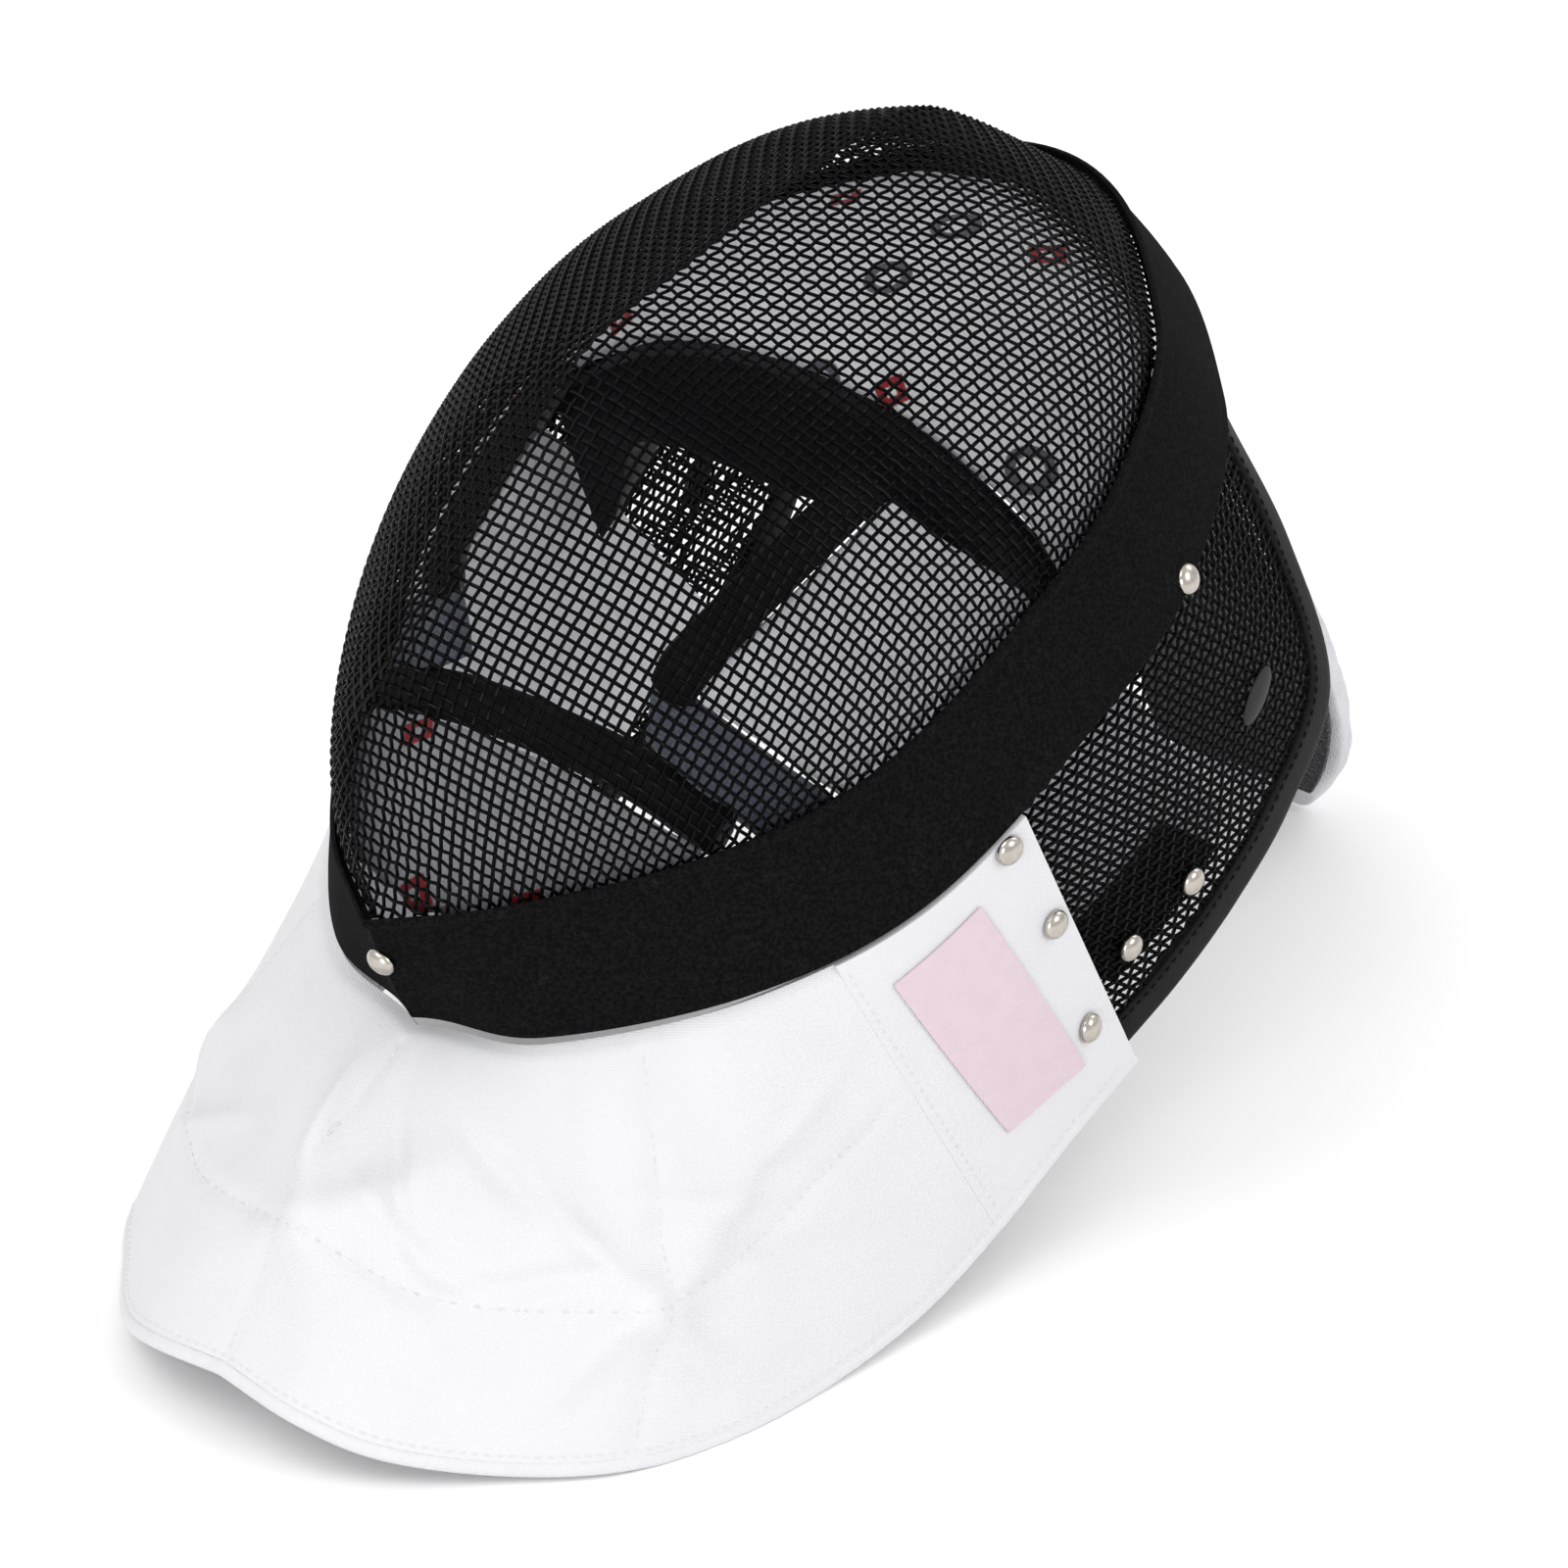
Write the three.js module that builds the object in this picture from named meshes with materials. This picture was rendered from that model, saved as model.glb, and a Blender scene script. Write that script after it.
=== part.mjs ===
// Fencing mask with a neck bib, leaning back on its bib and its rear tongue.
// Millimetres. Mask frame: X to the wearer's left, Y to the back, Z to the crown.
import * as THREE from "three";

// Overall sizes of the head shell
const halfWidth = 96; // centre plane to the inner edge of the trim band, at the ears
const faceDepth = 104; // ear line to the front of the mesh ridge
const halfHeight = 148.5; // ear line to the chin, and to the crown
const creaseAngle = THREE.MathUtils.degToRad(22); // half the fold of the mesh along its ridge
const crownFullness = 1.5; // 1 gives a pointed crown, more a rounder one

// Walls, bands and clearances
const clearance = 0.4; // between pieces that touch
const meshWall = 2; // two crossed wires
const bandWidth = 39;
const bandWall = 1.6;
const bandCamber = 0.8; // how far the band's middle stands above its edges
const bandSink = 1.2; // the band's underside below the outline that the contour table gives
const beadHeight = 1.4; // rolled inner edge of the band
const beadWidth = 5.6;
const beadOverhang = 2.4; // how far the rolled edge stands over the mesh
const bindingWidth = 12;
const bindingWall = 4;

// Side mesh behind the band
const rearHalfWidth = 102; // centre plane to the rear edge of the side mesh
const rearDepth = 151; // ear line to the rear edge of the side mesh
const sideTuck = 17; // how far the side mesh runs under the band
const sideBulge = 3;

// Where the meshes start and stop, as shares of the contour from chin to crown
const frontStart = 0.012;
const frontEnd = 0.972;
const sideStart = 0.3;
const sideEnd = 0.83;

// Bib, tabs and label
const bibHalfWidth = 113;
const bibBack = 138; // ear line to the rear corner of the tab
const bibDrop = 122.5; // chin to the lowest edge of the bib
const bibWall = 3;
const seamOffset = 1.3; // from the band's outer edge to the cloth
const bibBulge = 5;
const bibFold = 4.5; // height of the deepest fold
const hemWidth = 4.5;
const pressDepth = 1; // how far hem and tongue are pressed flat where they rest
const labelWall = 0.8;

// Padding inside the shell
const padWall = 6;
const padInset = 7; // from the band's inner edge to the line where the padding is sewn in
const padSeam = 2.6; // from the forehead pad's front edge to the pad above its lip
const slimBinding = 11; // height of the bound edges of the cheek and chin pads
const foreheadSwell = 16;
const cheekSwell = 2.6;
const chinSwell = 6;
const gussetWall = 4;
const liningWall = 1.5;

// Tongue behind the head
const tongueHalfWidth = 43;
const tongueRootHalfWidth = 17;
const tongueReach = 296; // ear line to the tip
const tongueWall = 9;
const tongueLiningWall = 2.5;

// Rivets and caps
const rivetRadius = 4.4;
const rivetHeight = 3;
const rivetSeat = 0.6; // base of a rivet above the cloth or mesh that carries it
const bandRivetSeat = 0.1; // base of a rivet above the plane of the band's edges
const capRadius = 4.5;
const capLength = 2.1; // length of the oval cap as a share of its width
const capHeight = 2;
const domeSides = 10;

// Shell outline from chin to crown. Front, up and out are shares of faceDepth, halfHeight and halfWidth;
// flare and rise turn the band outwards and upwards from straight back.
const contour = [
  {
    ridgeFront: 0.55, ridgeUp: -1.0, trimFront: 0.55, trimUp: -1.0, trimOut: 0.0,
    flare: 0.0, rise: -0.31,
  },
  {
    ridgeFront: 0.95, ridgeUp: -0.62, trimFront: 0.47, trimUp: -0.87, trimOut: 0.32,
    flare: 0.19, rise: -0.53,
  },
  {
    ridgeFront: 1.0, ridgeUp: -0.276, trimFront: 0.28, trimUp: -0.62, trimOut: 0.67,
    flare: 0.3, rise: -0.55,
  },
  {
    ridgeFront: 0.995, ridgeUp: 0.028, trimFront: 0.115, trimUp: -0.337, trimOut: 0.885,
    flare: 0.33, rise: -0.48,
  },
  {
    ridgeFront: 0.82, ridgeUp: 0.283, trimFront: 0.043, trimUp: 0.034, trimOut: 1.0,
    flare: 0.31, rise: -0.33,
  },
  {
    ridgeFront: 0.567, ridgeUp: 0.6, trimFront: -0.043, trimUp: 0.357, trimOut: 0.98,
    flare: 0.31, rise: -0.19,
  },
  {
    ridgeFront: 0.288, ridgeUp: 0.849, trimFront: -0.197, trimUp: 0.724, trimOut: 0.69,
    flare: 0.19, rise: -0.06,
  },
  {
    ridgeFront: -0.33, ridgeUp: 0.993, trimFront: -0.33, trimUp: 0.993, trimOut: 0.0,
    flare: 0.0, rise: 0.03,
  },
];

// Rear edge of the side mesh from its lower corner to the band, as shares of rearHalfWidth, rearDepth and
// halfHeight.
const rearEdge = [
  { out: 0.98, back: 0.915, up: -0.418 },
  { out: 0.99, back: 0.973, up: -0.222 },
  { out: 1.0, back: 1.0, up: -0.027 },
  { out: 1.0, back: 1.0, up: 0.182 },
  { out: 0.98, back: 0.93, up: 0.418 },
  { out: 0.88, back: 0.656, up: 0.572 },
  { out: 0.705, back: 0.457, up: 0.687 },
];

// Lower edge of the bib from its centre to the tab's rear corner, as shares of bibHalfWidth, bibBack and
// bibDrop. Contour says where on the band, from chin to crown, the cloth above each row is sewn.
const bibEdge = [
  { contour: 0.0, out: 0.0, back: -0.11, drop: 0.97 },
  { contour: 0.05, out: 0.24, back: -0.09, drop: 0.985 },
  { contour: 0.1, out: 0.43, back: 0.0, drop: 0.96 },
  { contour: 0.15, out: 0.635, back: 0.135, drop: 0.86 },
  { contour: 0.2, out: 0.82, back: 0.255, drop: 0.725 },
  { contour: 0.25, out: 0.92, back: 0.41, drop: 0.55 },
  { contour: 0.29, out: 0.965, back: 0.555, drop: 0.34 },
  { contour: 0.33, out: 0.99, back: 0.7, drop: 0.085 },
  { contour: 0.38, out: 0.995, back: 0.797, drop: -0.175 },
  { contour: 0.44, out: 0.99, back: 0.877, drop: -0.453 },
  { contour: 0.51, out: 0.956, back: 1.0, drop: -0.706 },
];
// Where the tab starts, as shares of bibEdge from the centre, at the band and at the hem
const tabSeamTop = 0.74;
const tabSeamHem = 0.8;

// Folds of the bib: around is -1 to 1 from tab to tab, down is 0 at the band and 1 at the hem, turn is the
// fold's slope in degrees, reach and spread its half length and half width, lift a share of bibFold.
const bibFolds = [
  { around: 0.0, down: 0.45, turn: 62, reach: 0.34, spread: 0.07, lift: 1.0 },
  { around: 0.06, down: 0.5, turn: -38, reach: 0.3, spread: 0.07, lift: 0.8 },
  { around: -0.2, down: 0.35, turn: 30, reach: 0.3, spread: 0.09, lift: -0.8 },
  { around: 0.22, down: 0.62, turn: 12, reach: 0.25, spread: 0.08, lift: -0.7 },
  { around: 0.4, down: 0.6, turn: 48, reach: 0.3, spread: 0.07, lift: 1.0 },
  { around: 0.44, down: 0.55, turn: -42, reach: 0.3, spread: 0.07, lift: 0.9 },
  { around: 0.58, down: 0.45, turn: 8, reach: 0.2, spread: 0.09, lift: -0.7 },
  { around: -0.45, down: 0.55, turn: -46, reach: 0.3, spread: 0.07, lift: 0.9 },
  { around: -0.6, down: 0.5, turn: 20, reach: 0.25, spread: 0.09, lift: -0.6 },
];

// Middle line of the tongue from its root under the crown, as shares of tongueReach and halfHeight; width is
// a share of the way from the root's half width to the full one.
const tongueLine = [
  { back: 0.17, up: 0.928, width: 0.0 },
  { back: 0.25, up: 0.912, width: 0.0 },
  { back: 0.35, up: 0.87, width: 0.05 },
  { back: 0.45, up: 0.805, width: 0.25 },
  { back: 0.54, up: 0.76, width: 0.6 },
  { back: 0.65, up: 0.72, width: 0.9 },
  { back: 0.76, up: 0.678, width: 1.0 },
  { back: 0.87, up: 0.617, width: 1.0 },
  { back: 0.95, up: 0.523, width: 0.85 },
  { back: 1.0, up: 0.43, width: 0.35 },
];

// Free edges of the pads on the wearer's left, from the middle outwards or from the top down, as shares of
// halfWidth, faceDepth and halfHeight
const foreheadEdge = [
  { out: 0.0, front: 0.212, up: 0.283 },
  { out: 0.5, front: 0.144, up: 0.249 },
  { out: 0.917, front: -0.085, up: 0.166 },
];
const foreheadLip = [
  { out: 0.0, front: -0.007, up: 0.141 },
  { out: 0.52, front: -0.065, up: 0.152 },
  { out: 0.78, front: -0.356, up: 0.1 },
  { out: 0.917, front: -0.548, up: 0.027 },
];
const cheekEdge = [
  { out: 0.525, front: 0.42, up: 0.1 },
  { out: 0.48, front: 0.5, up: -0.12 },
  { out: 0.44, front: 0.545, up: -0.28 },
  { out: 0.395, front: 0.53, up: -0.365 },
  { out: 0.375, front: 0.45, up: -0.405 },
  { out: 0.36, front: 0.36, up: -0.46 },
];
const chinEdge = [
  { out: 0.0, front: 0.3, up: -0.485 },
  { out: 0.354, front: 0.3, up: -0.495 },
  { out: 0.62, front: 0.24, up: -0.52 },
];

// Where the pads are sewn in, as shares of the contour from chin to crown
const crownFoot = 0.97;
const foreheadFoot = 0.635;
const cheekTop = 0.605;
const cheekFoot = 0.41;
const gussetTop = 0.407;
const gussetFoot = 0.345;
const chinFoot = 0.27;
const chinMiddle = 0.06;
// Parts of the cheek pad's free edge above and below the seam with the gusset
const cheekShare = 0.66;
const gussetShare = 0.69;

// Patches inside the side mesh, as shares of its height, at their front and rear, and of its depth behind the band
const sideLining = { low: 0, high: 0.6, rearHigh: 0.45, front: 0, rear: 0.84 };
const strapAnchor = { low: 0.12, high: 0.4, rearHigh: 0.4, front: 0.62, rear: 0.86 };

const headCentre = new THREE.Vector3(0, rearDepth / 5, 0);

const finishes = {
  mesh: { color: 0x15161a, roughness: 0.45, metalness: 0.6 },
  suede: { color: 0x101012, roughness: 0.95, metalness: 0 },
  binding: { color: 0x1b1b1d, roughness: 0.5, metalness: 0 },
  satin: { color: 0xf1f1f4, roughness: 0.6, metalness: 0 },
  label: { color: 0xe8dbe4, roughness: 0.6, metalness: 0 },
  padding: { color: 0xe6e6e8, roughness: 0.85, metalness: 0 },
  navy: { color: 0x242a38, roughness: 0.9, metalness: 0 },
  nickel: { color: 0xb8b0a6, roughness: 0.2, metalness: 1 },
  cap: { color: 0x1a1a1a, roughness: 0.4, metalness: 0 },
};

function mirrored(point) {
  return new THREE.Vector3(-point.x, point.y, point.z);
}

// A curve through points given from chin to crown, continued past both ends so that it meets its mirror
// image smoothly, or in a point at the chin.
function halfLoop(points, pointedChin = false) {
  const first = pointedChin ? points[0].clone().multiplyScalar(2).sub(points[1]) : mirrored(points[1]);
  const last = mirrored(points.at(-2));
  last.x *= crownFullness;
  const curve = new THREE.CatmullRomCurve3([first, ...points, last], false, "catmullrom");
  return (t) => curve.getPoint((1 + t * (points.length - 1)) / (points.length + 1));
}

function openCurve(points) {
  const curve = new THREE.CatmullRomCurve3(points, false, "catmullrom");
  return (t) => curve.getPoint(THREE.MathUtils.clamp(t, 0, 1));
}

const ridgeAt = halfLoop(
  contour.map((row) => new THREE.Vector3(0, -row.ridgeFront * faceDepth, row.ridgeUp * halfHeight)),
  true,
);
const trimAt = halfLoop(
  contour.map(
    (row) => new THREE.Vector3(row.trimOut * halfWidth, -row.trimFront * faceDepth, row.trimUp * halfHeight),
  ),
  true,
);
const acrossAt = halfLoop(
  contour.map(
    (row) => new THREE.Vector3(row.flare, Math.sqrt(1 - row.flare ** 2 - row.rise ** 2), row.rise),
  ),
);
const rearEdgeAt = openCurve(
  rearEdge.map(
    ({ out, back, up }) => new THREE.Vector3(out * rearHalfWidth, back * rearDepth, up * halfHeight),
  ),
);
const bibEdgeAt = openCurve(
  bibEdge.map(
    (row) => new THREE.Vector3(row.out * bibHalfWidth, row.back * bibBack, -halfHeight - row.drop * bibDrop),
  ),
);
const bibContourAt = openCurve(bibEdge.map((row) => new THREE.Vector3(row.contour, 0, 0)));

// The band's own frame on the wearer's left: inner edge, direction across the band and outward normal.
function bandFrame(t) {
  const inner = trimAt(t);
  const across = acrossAt(t).normalize();
  const middle = (s) => trimAt(s).addScaledVector(acrossAt(s).normalize(), bandWidth / 2);
  const step = 0.01;
  const onPlane = t <= 0 || t >= 1;
  const tangent = onPlane
    ? new THREE.Vector3(t <= 0 ? 1 : -1, 0, 0)
    : middle(Math.min(1, t + step)).sub(middle(Math.max(0, t - step)));
  const normal = new THREE.Vector3().crossVectors(across, tangent).normalize();
  return { inner, across, normal };
}

function bandPoint(t, along, lift) {
  const { inner, across, normal } = bandFrame(t);
  return inner.addScaledVector(across, along).addScaledVector(normal, lift);
}

// Front mesh: side runs from -1 at the right trim over 0 at the ridge to 1 at the left trim.
function frontPoint(t, side) {
  const ridge = ridgeAt(t);
  const trim = trimAt(t);
  const angle = creaseAngle + Math.abs(side) * (Math.PI / 2 - creaseAngle);
  const out = (Math.sin(angle) - Math.sin(creaseAngle)) / (1 - Math.sin(creaseAngle));
  const back = 1 - Math.cos(angle) / Math.cos(creaseAngle);
  return new THREE.Vector3(
    Math.sign(side) * trim.x * out,
    THREE.MathUtils.lerp(ridge.y, trim.y, back),
    THREE.MathUtils.lerp(ridge.z, trim.z, (out + back) / 2),
  );
}

// Left side mesh: up runs along its rear edge, back from under the band to the rear edge.
function sidePoint(up, back) {
  const share = THREE.MathUtils.lerp(sideStart, sideEnd, up);
  const point = bandPoint(share, bandWidth - sideTuck, -bandSink - 1.5 * clearance);
  point.lerp(rearEdgeAt(up), back);
  point.x += sideBulge * Math.sin(Math.PI * back) ** 2 * (1 - up ** 2);
  return point;
}

// Bib and tabs: around runs from -1 at the right tab to 1 at the left, down from the band to the hem.
function foldLift(around, down) {
  let lift = 0;
  for (const fold of bibFolds) {
    const turn = THREE.MathUtils.degToRad(fold.turn);
    const x = (around - fold.around) * 2.4;
    const y = down - fold.down;
    const along = x * Math.cos(turn) + y * Math.sin(turn);
    const across = y * Math.cos(turn) - x * Math.sin(turn);
    lift += fold.lift * Math.exp(-((along / fold.reach) ** 2) - (across / fold.spread) ** 2);
  }
  return lift * bibFold * Math.sin(Math.PI * down);
}

function bibPoint(around, down) {
  const share = Math.abs(around);
  const edge = bibEdgeAt(share);
  const seam = bandPoint(bibContourAt(share).x, bandWidth + seamOffset, bandWall - bandSink);
  const outwards = new THREE.Vector3(edge.x, edge.y - headCentre.y - bibHalfWidth / 4, 0).normalize();
  const slack = 1 - share ** 4;
  const point = seam.lerp(edge, down);
  point.addScaledVector(outwards, slack * (bibBulge * Math.sin(Math.PI * down) + foldLift(around, down)));
  point.x *= Math.sign(around) || 1;
  return point;
}

// A closed body from a grid of outer points and the same grid of inner points.
function bodyOf(positions, triangles) {
  const geometry = new THREE.BufferGeometry();
  geometry.setAttribute("position", new THREE.Float32BufferAttribute(positions, 3));
  let volume = 0;
  const corner = (index) => new THREE.Vector3().fromArray(positions, 3 * index);
  for (let i = 0; i < triangles.length; i += 3) {
    const [a, b, c] = [corner(triangles[i]), corner(triangles[i + 1]), corner(triangles[i + 2])];
    volume += a.dot(b.cross(c)) / 6;
  }
  if (volume < 0) triangles.reverse();
  geometry.setIndex(triangles);
  geometry.computeVertexNormals();
  return geometry;
}

// A sheet of one wall thickness. The surface gives points for shares 0 to 1 both ways. The outer face lies
// at lift from it, on the side away from the hub, and the wall goes towards the hub.
function sheetSolid(surface, columns, rows, wall, lift = 0, hub = headCentre) {
  const grid = [];
  for (let i = 0; i <= columns; i += 1) {
    grid.push(Array.from({ length: rows + 1 }, (_, j) => surface(i / columns, j / rows)));
  }
  const normalAt = (i, j) => {
    const du = grid[Math.min(columns, i + 1)][j].clone().sub(grid[Math.max(0, i - 1)][j]);
    const dv = grid[i][Math.min(rows, j + 1)].clone().sub(grid[i][Math.max(0, j - 1)]);
    return du.cross(dv).normalize();
  };
  const middle = [Math.floor(columns / 2), Math.floor(rows / 2)];
  const facing = normalAt(...middle).dot(grid[middle[0]][middle[1]].clone().sub(hub)) < 0 ? -1 : 1;
  const positions = [];
  for (const depth of [lift, lift - wall]) {
    for (let i = 0; i <= columns; i += 1) {
      for (let j = 0; j <= rows; j += 1) {
        const point = grid[i][j].clone().addScaledVector(normalAt(i, j), facing * depth);
        positions.push(point.x, point.y, point.z);
      }
    }
  }
  const size = (columns + 1) * (rows + 1);
  const at = (i, j) => i * (rows + 1) + j;
  const triangles = [];
  const quad = (a, b, c, d) => triangles.push(a, b, c, a, c, d);
  for (let i = 0; i < columns; i += 1) {
    for (let j = 0; j < rows; j += 1) {
      quad(at(i, j), at(i + 1, j), at(i + 1, j + 1), at(i, j + 1));
      quad(size + at(i, j), size + at(i, j + 1), size + at(i + 1, j + 1), size + at(i + 1, j));
    }
  }
  const rim = [];
  for (let i = 0; i < columns; i += 1) rim.push(at(i, 0));
  for (let j = 0; j < rows; j += 1) rim.push(at(columns, j));
  for (let i = columns; i > 0; i -= 1) rim.push(at(i, rows));
  for (let j = rows; j > 0; j -= 1) rim.push(at(0, j));
  rim.forEach((a, index) => {
    const b = rim[(index + 1) % rim.length];
    quad(b, a, size + a, size + b);
  });
  return bodyOf(positions, triangles);
}

// A bar that keeps one section along its frames: each frame has an origin and the section's two axes.
function sweptSolid(frames, section, closed = false) {
  const positions = [];
  for (const { origin, sideways, upwards } of frames) {
    for (const [a, b] of section) {
      const point = origin.clone().addScaledVector(sideways, a).addScaledVector(upwards, b);
      positions.push(point.x, point.y, point.z);
    }
  }
  const count = section.length;
  const triangles = [];
  const spans = closed ? frames.length : frames.length - 1;
  for (let i = 0; i < spans; i += 1) {
    const next = ((i + 1) % frames.length) * count;
    for (let j = 0; j < count; j += 1) {
      const k = (j + 1) % count;
      triangles.push(i * count + j, i * count + k, next + k, i * count + j, next + k, next + j);
    }
  }
  if (!closed) {
    const outline = section.map(([a, b]) => new THREE.Vector2(a, b));
    const turnsLeft = THREE.ShapeUtils.area(outline) > 0;
    const last = (frames.length - 1) * count;
    for (const [a, b, c] of THREE.ShapeUtils.triangulateShape(outline, [])) {
      const cap = turnsLeft ? [a, b, c] : [c, b, a];
      triangles.push(...cap.toReversed());
      triangles.push(...cap.map((corner) => last + corner));
    }
  }
  return bodyOf(positions, triangles);
}

function ovalSection(width, height, sides) {
  return Array.from({ length: sides }, (_, i) => {
    const angle = ((i + 0.5) / sides) * 2 * Math.PI;
    return [(width / 2) * Math.cos(angle), (height / 2) * Math.sin(angle)];
  });
}

// Frames along an edge of a surface: sideways runs on from the surface, upwards stands on it.
function edgeFrames(edge, inner, steps, shift = 0) {
  return Array.from({ length: steps + 1 }, (_, i) => {
    const s = i / steps;
    const origin = edge(s);
    const sideways = origin.clone().sub(inner(s)).normalize();
    const ahead = edge(Math.min(1, s + 0.01)).sub(edge(Math.max(0, s - 0.01)));
    const upwards = new THREE.Vector3().crossVectors(ahead, sideways).normalize();
    return { origin: origin.addScaledVector(sideways, shift), sideways, upwards };
  });
}

const mask = new THREE.Group();

function addPiece(name, geometry, finish, parent = mask) {
  const piece = new THREE.Mesh(geometry, new THREE.MeshStandardMaterial(finishes[finish]));
  piece.name = name;
  parent.add(piece);
  return piece;
}

// The mirror image of a geometry across the mask's centre plane, its faces turned back outwards.
function mirroredGeometry(geometry) {
  const copy = geometry.clone().applyMatrix4(new THREE.Matrix4().makeScale(-1, 1, 1));
  copy.setIndex([...copy.index.array].reverse());
  copy.computeVertexNormals();
  return copy;
}

function addPair(name, geometry, finish) {
  addPiece(name + "_left", geometry, finish);
  addPiece(name + "_right", mirroredGeometry(geometry), finish);
}

function addShell() {
  const front = (u, v) => frontPoint(THREE.MathUtils.lerp(frontStart, frontEnd, u), 2 * v - 1);
  addPiece("front_mesh", sheetSolid(front, 22, 16, meshWall, -2 * clearance), "mesh");
  const sideDepth = (up) => sidePoint(up, 0).distanceTo(sidePoint(up, 1));
  const rearStop = (up) => 1 - (bindingWidth - clearance) / sideDepth(up);
  addPair("side_mesh", sheetSolid((u, v) => sidePoint(u, v * rearStop(u)), 14, 6, meshWall), "mesh");
  const bindingFrames = edgeFrames((s) => sidePoint(s, 1), (s) => sidePoint(s, 0.9), 18, clearance);
  const bindingSection = ovalSection(bindingWidth, bindingWall, 8).map(([a, b]) => [
    a - bindingWidth / 2 + clearance,
    b - meshWall / 2,
  ]);
  addPair("edge_binding", sweptSolid(bindingFrames, bindingSection), "binding");
}

// The band is one closed loop: up the left side, over the crown, down the right side.
function addBand() {
  const steps = 26;
  const left = Array.from({ length: steps + 1 }, (_, i) => {
    const { inner, across, normal } = bandFrame(i / steps);
    return { origin: inner, sideways: across, upwards: normal };
  });
  const right = left
    .slice(1, -1)
    .reverse()
    .map((frame) => ({
      origin: mirrored(frame.origin),
      sideways: mirrored(frame.sideways),
      upwards: mirrored(frame.upwards),
    }));
  const top = bandWall - bandSink;
  const section = [
    [-beadOverhang, top + beadHeight / 3],
    [beadWidth * 0.1 - beadOverhang, top + beadHeight],
    [beadWidth * 0.7 - beadOverhang, top + beadHeight],
    [beadWidth - beadOverhang, top],
    [bandWidth / 2, top + bandCamber],
    [bandWidth, top - bandCamber / 2],
    [bandWidth, -bandSink],
    [2 * clearance, -bandSink],
    [2 * clearance, clearance / 4],
  ];
  addPiece("trim_band", sweptSolid([...left, ...right], section, true), "suede");
}

// Corners of the label in turn, as around and down shares of the bib.
const labelCorners = {
  top: [new THREE.Vector2(0.8, 0.12), new THREE.Vector2(0.925, 0.1)],
  foot: [new THREE.Vector2(0.845, 0.75), new THREE.Vector2(0.945, 0.82)],
};

function labelPoint(across, down) {
  const high = labelCorners.top[0].clone().lerp(labelCorners.top[1], across);
  const low = labelCorners.foot[0].clone().lerp(labelCorners.foot[1], across);
  const place = high.lerp(low, down);
  return bibPoint(place.x, place.y);
}

function addBib() {
  const seamGap = 0.0015;
  const seam = (down) => THREE.MathUtils.lerp(tabSeamTop, tabSeamHem, down);
  const bibDepth = (around) => bibPoint(around, 0).distanceTo(bibPoint(around, 1));
  const hemStop = (around) => 1 - (hemWidth + clearance) / bibDepth(around);
  const bibSurface = (u, v) => {
    const side = (2 * u - 1) * (seam(v) - seamGap);
    return bibPoint(side, v * hemStop(side));
  };
  addPiece("bib", sheetSolid(bibSurface, 42, 10, bibWall), "satin");
  const tabSurface = (u, v) => {
    const side = THREE.MathUtils.lerp(seam(v) + seamGap, 1, u);
    return bibPoint(side, v * hemStop(side));
  };
  addPair("bib_tab", sheetSolid(tabSurface, 6, 10, bibWall), "satin");
  const hemLine = (down) => (s) => bibPoint(2 * s - 1, down);
  const hemFrames = edgeFrames(hemLine(1), hemLine(0.9), 50, -hemWidth / 2);
  const hemSection = ovalSection(hemWidth, bibWall + 1, 6).map(([a, b]) => [a, b - bibWall / 2]);
  addPiece("bib_hem", sweptSolid(hemFrames, hemSection), "satin");
  addPiece("label_patch", sheetSolid(labelPoint, 4, 6, labelWall, labelWall + clearance), "label");
}

function paddingPoint({ out, front, up }) {
  return new THREE.Vector3(out * halfWidth, -front * faceDepth, up * halfHeight);
}

// A curve through the mirror image of a table's points and on through the points themselves.
function archThrough(rows) {
  const left = rows.map(paddingPoint);
  return openCurve([...left.slice(1).reverse().map(mirrored), ...left]);
}

const foreheadEdgeAt = archThrough(foreheadEdge);
const foreheadLipAt = archThrough(foreheadLip);
const cheekEdgeAt = openCurve(cheekEdge.map(paddingPoint));
const chinEdgeAt = archThrough(chinEdge);

// A point inside the shell on the line where the padding is sewn in; t is negative on the wearer's right.
function footPoint(t) {
  const point = bandPoint(Math.abs(t), padInset, -bandSink - 2 * clearance - padWall / 2);
  return t < 0 ? mirrored(point) : point;
}

// Padding: each pad is a sheet from its free edge to its foot, swollen away from the head between them.
function padPoint(edge, foot, v, swell) {
  const point = edge.clone().lerp(foot, v);
  const outwards = point.clone().sub(headCentre).normalize();
  return point.addScaledVector(outwards, swell * Math.sin(Math.PI * v));
}

// The part of a pad that starts at a distance from its free edge.
function padFrom(surface, start) {
  const length = (u) => surface(u, 0).distanceTo(surface(u, 1));
  return (u, v) => surface(u, THREE.MathUtils.lerp((start + clearance) / length(u), 1, v));
}

function addBoundPad(name, surface, columns, rows, width, finish, pair = false) {
  const add = pair ? addPair : addPiece;
  add(name, sheetSolid(padFrom(surface, width), columns, rows, padWall, padWall / 2), finish);
  const frames = edgeFrames((s) => surface(s, 0), (s) => surface(s, 0.1), columns + 4, -width / 2);
  add(name.replace("_pad", "_binding"), sweptSolid(frames, ovalSection(width, padWall + 1, 8)), "binding");
}

function foreheadPoint(u, v) {
  const side = 2 * u - 1;
  const t = THREE.MathUtils.lerp(crownFoot, foreheadFoot, Math.abs(side));
  return padPoint(foreheadEdgeAt(u), footPoint(side < 0 ? -t : t), v, foreheadSwell * (1 - side ** 2));
}

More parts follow.
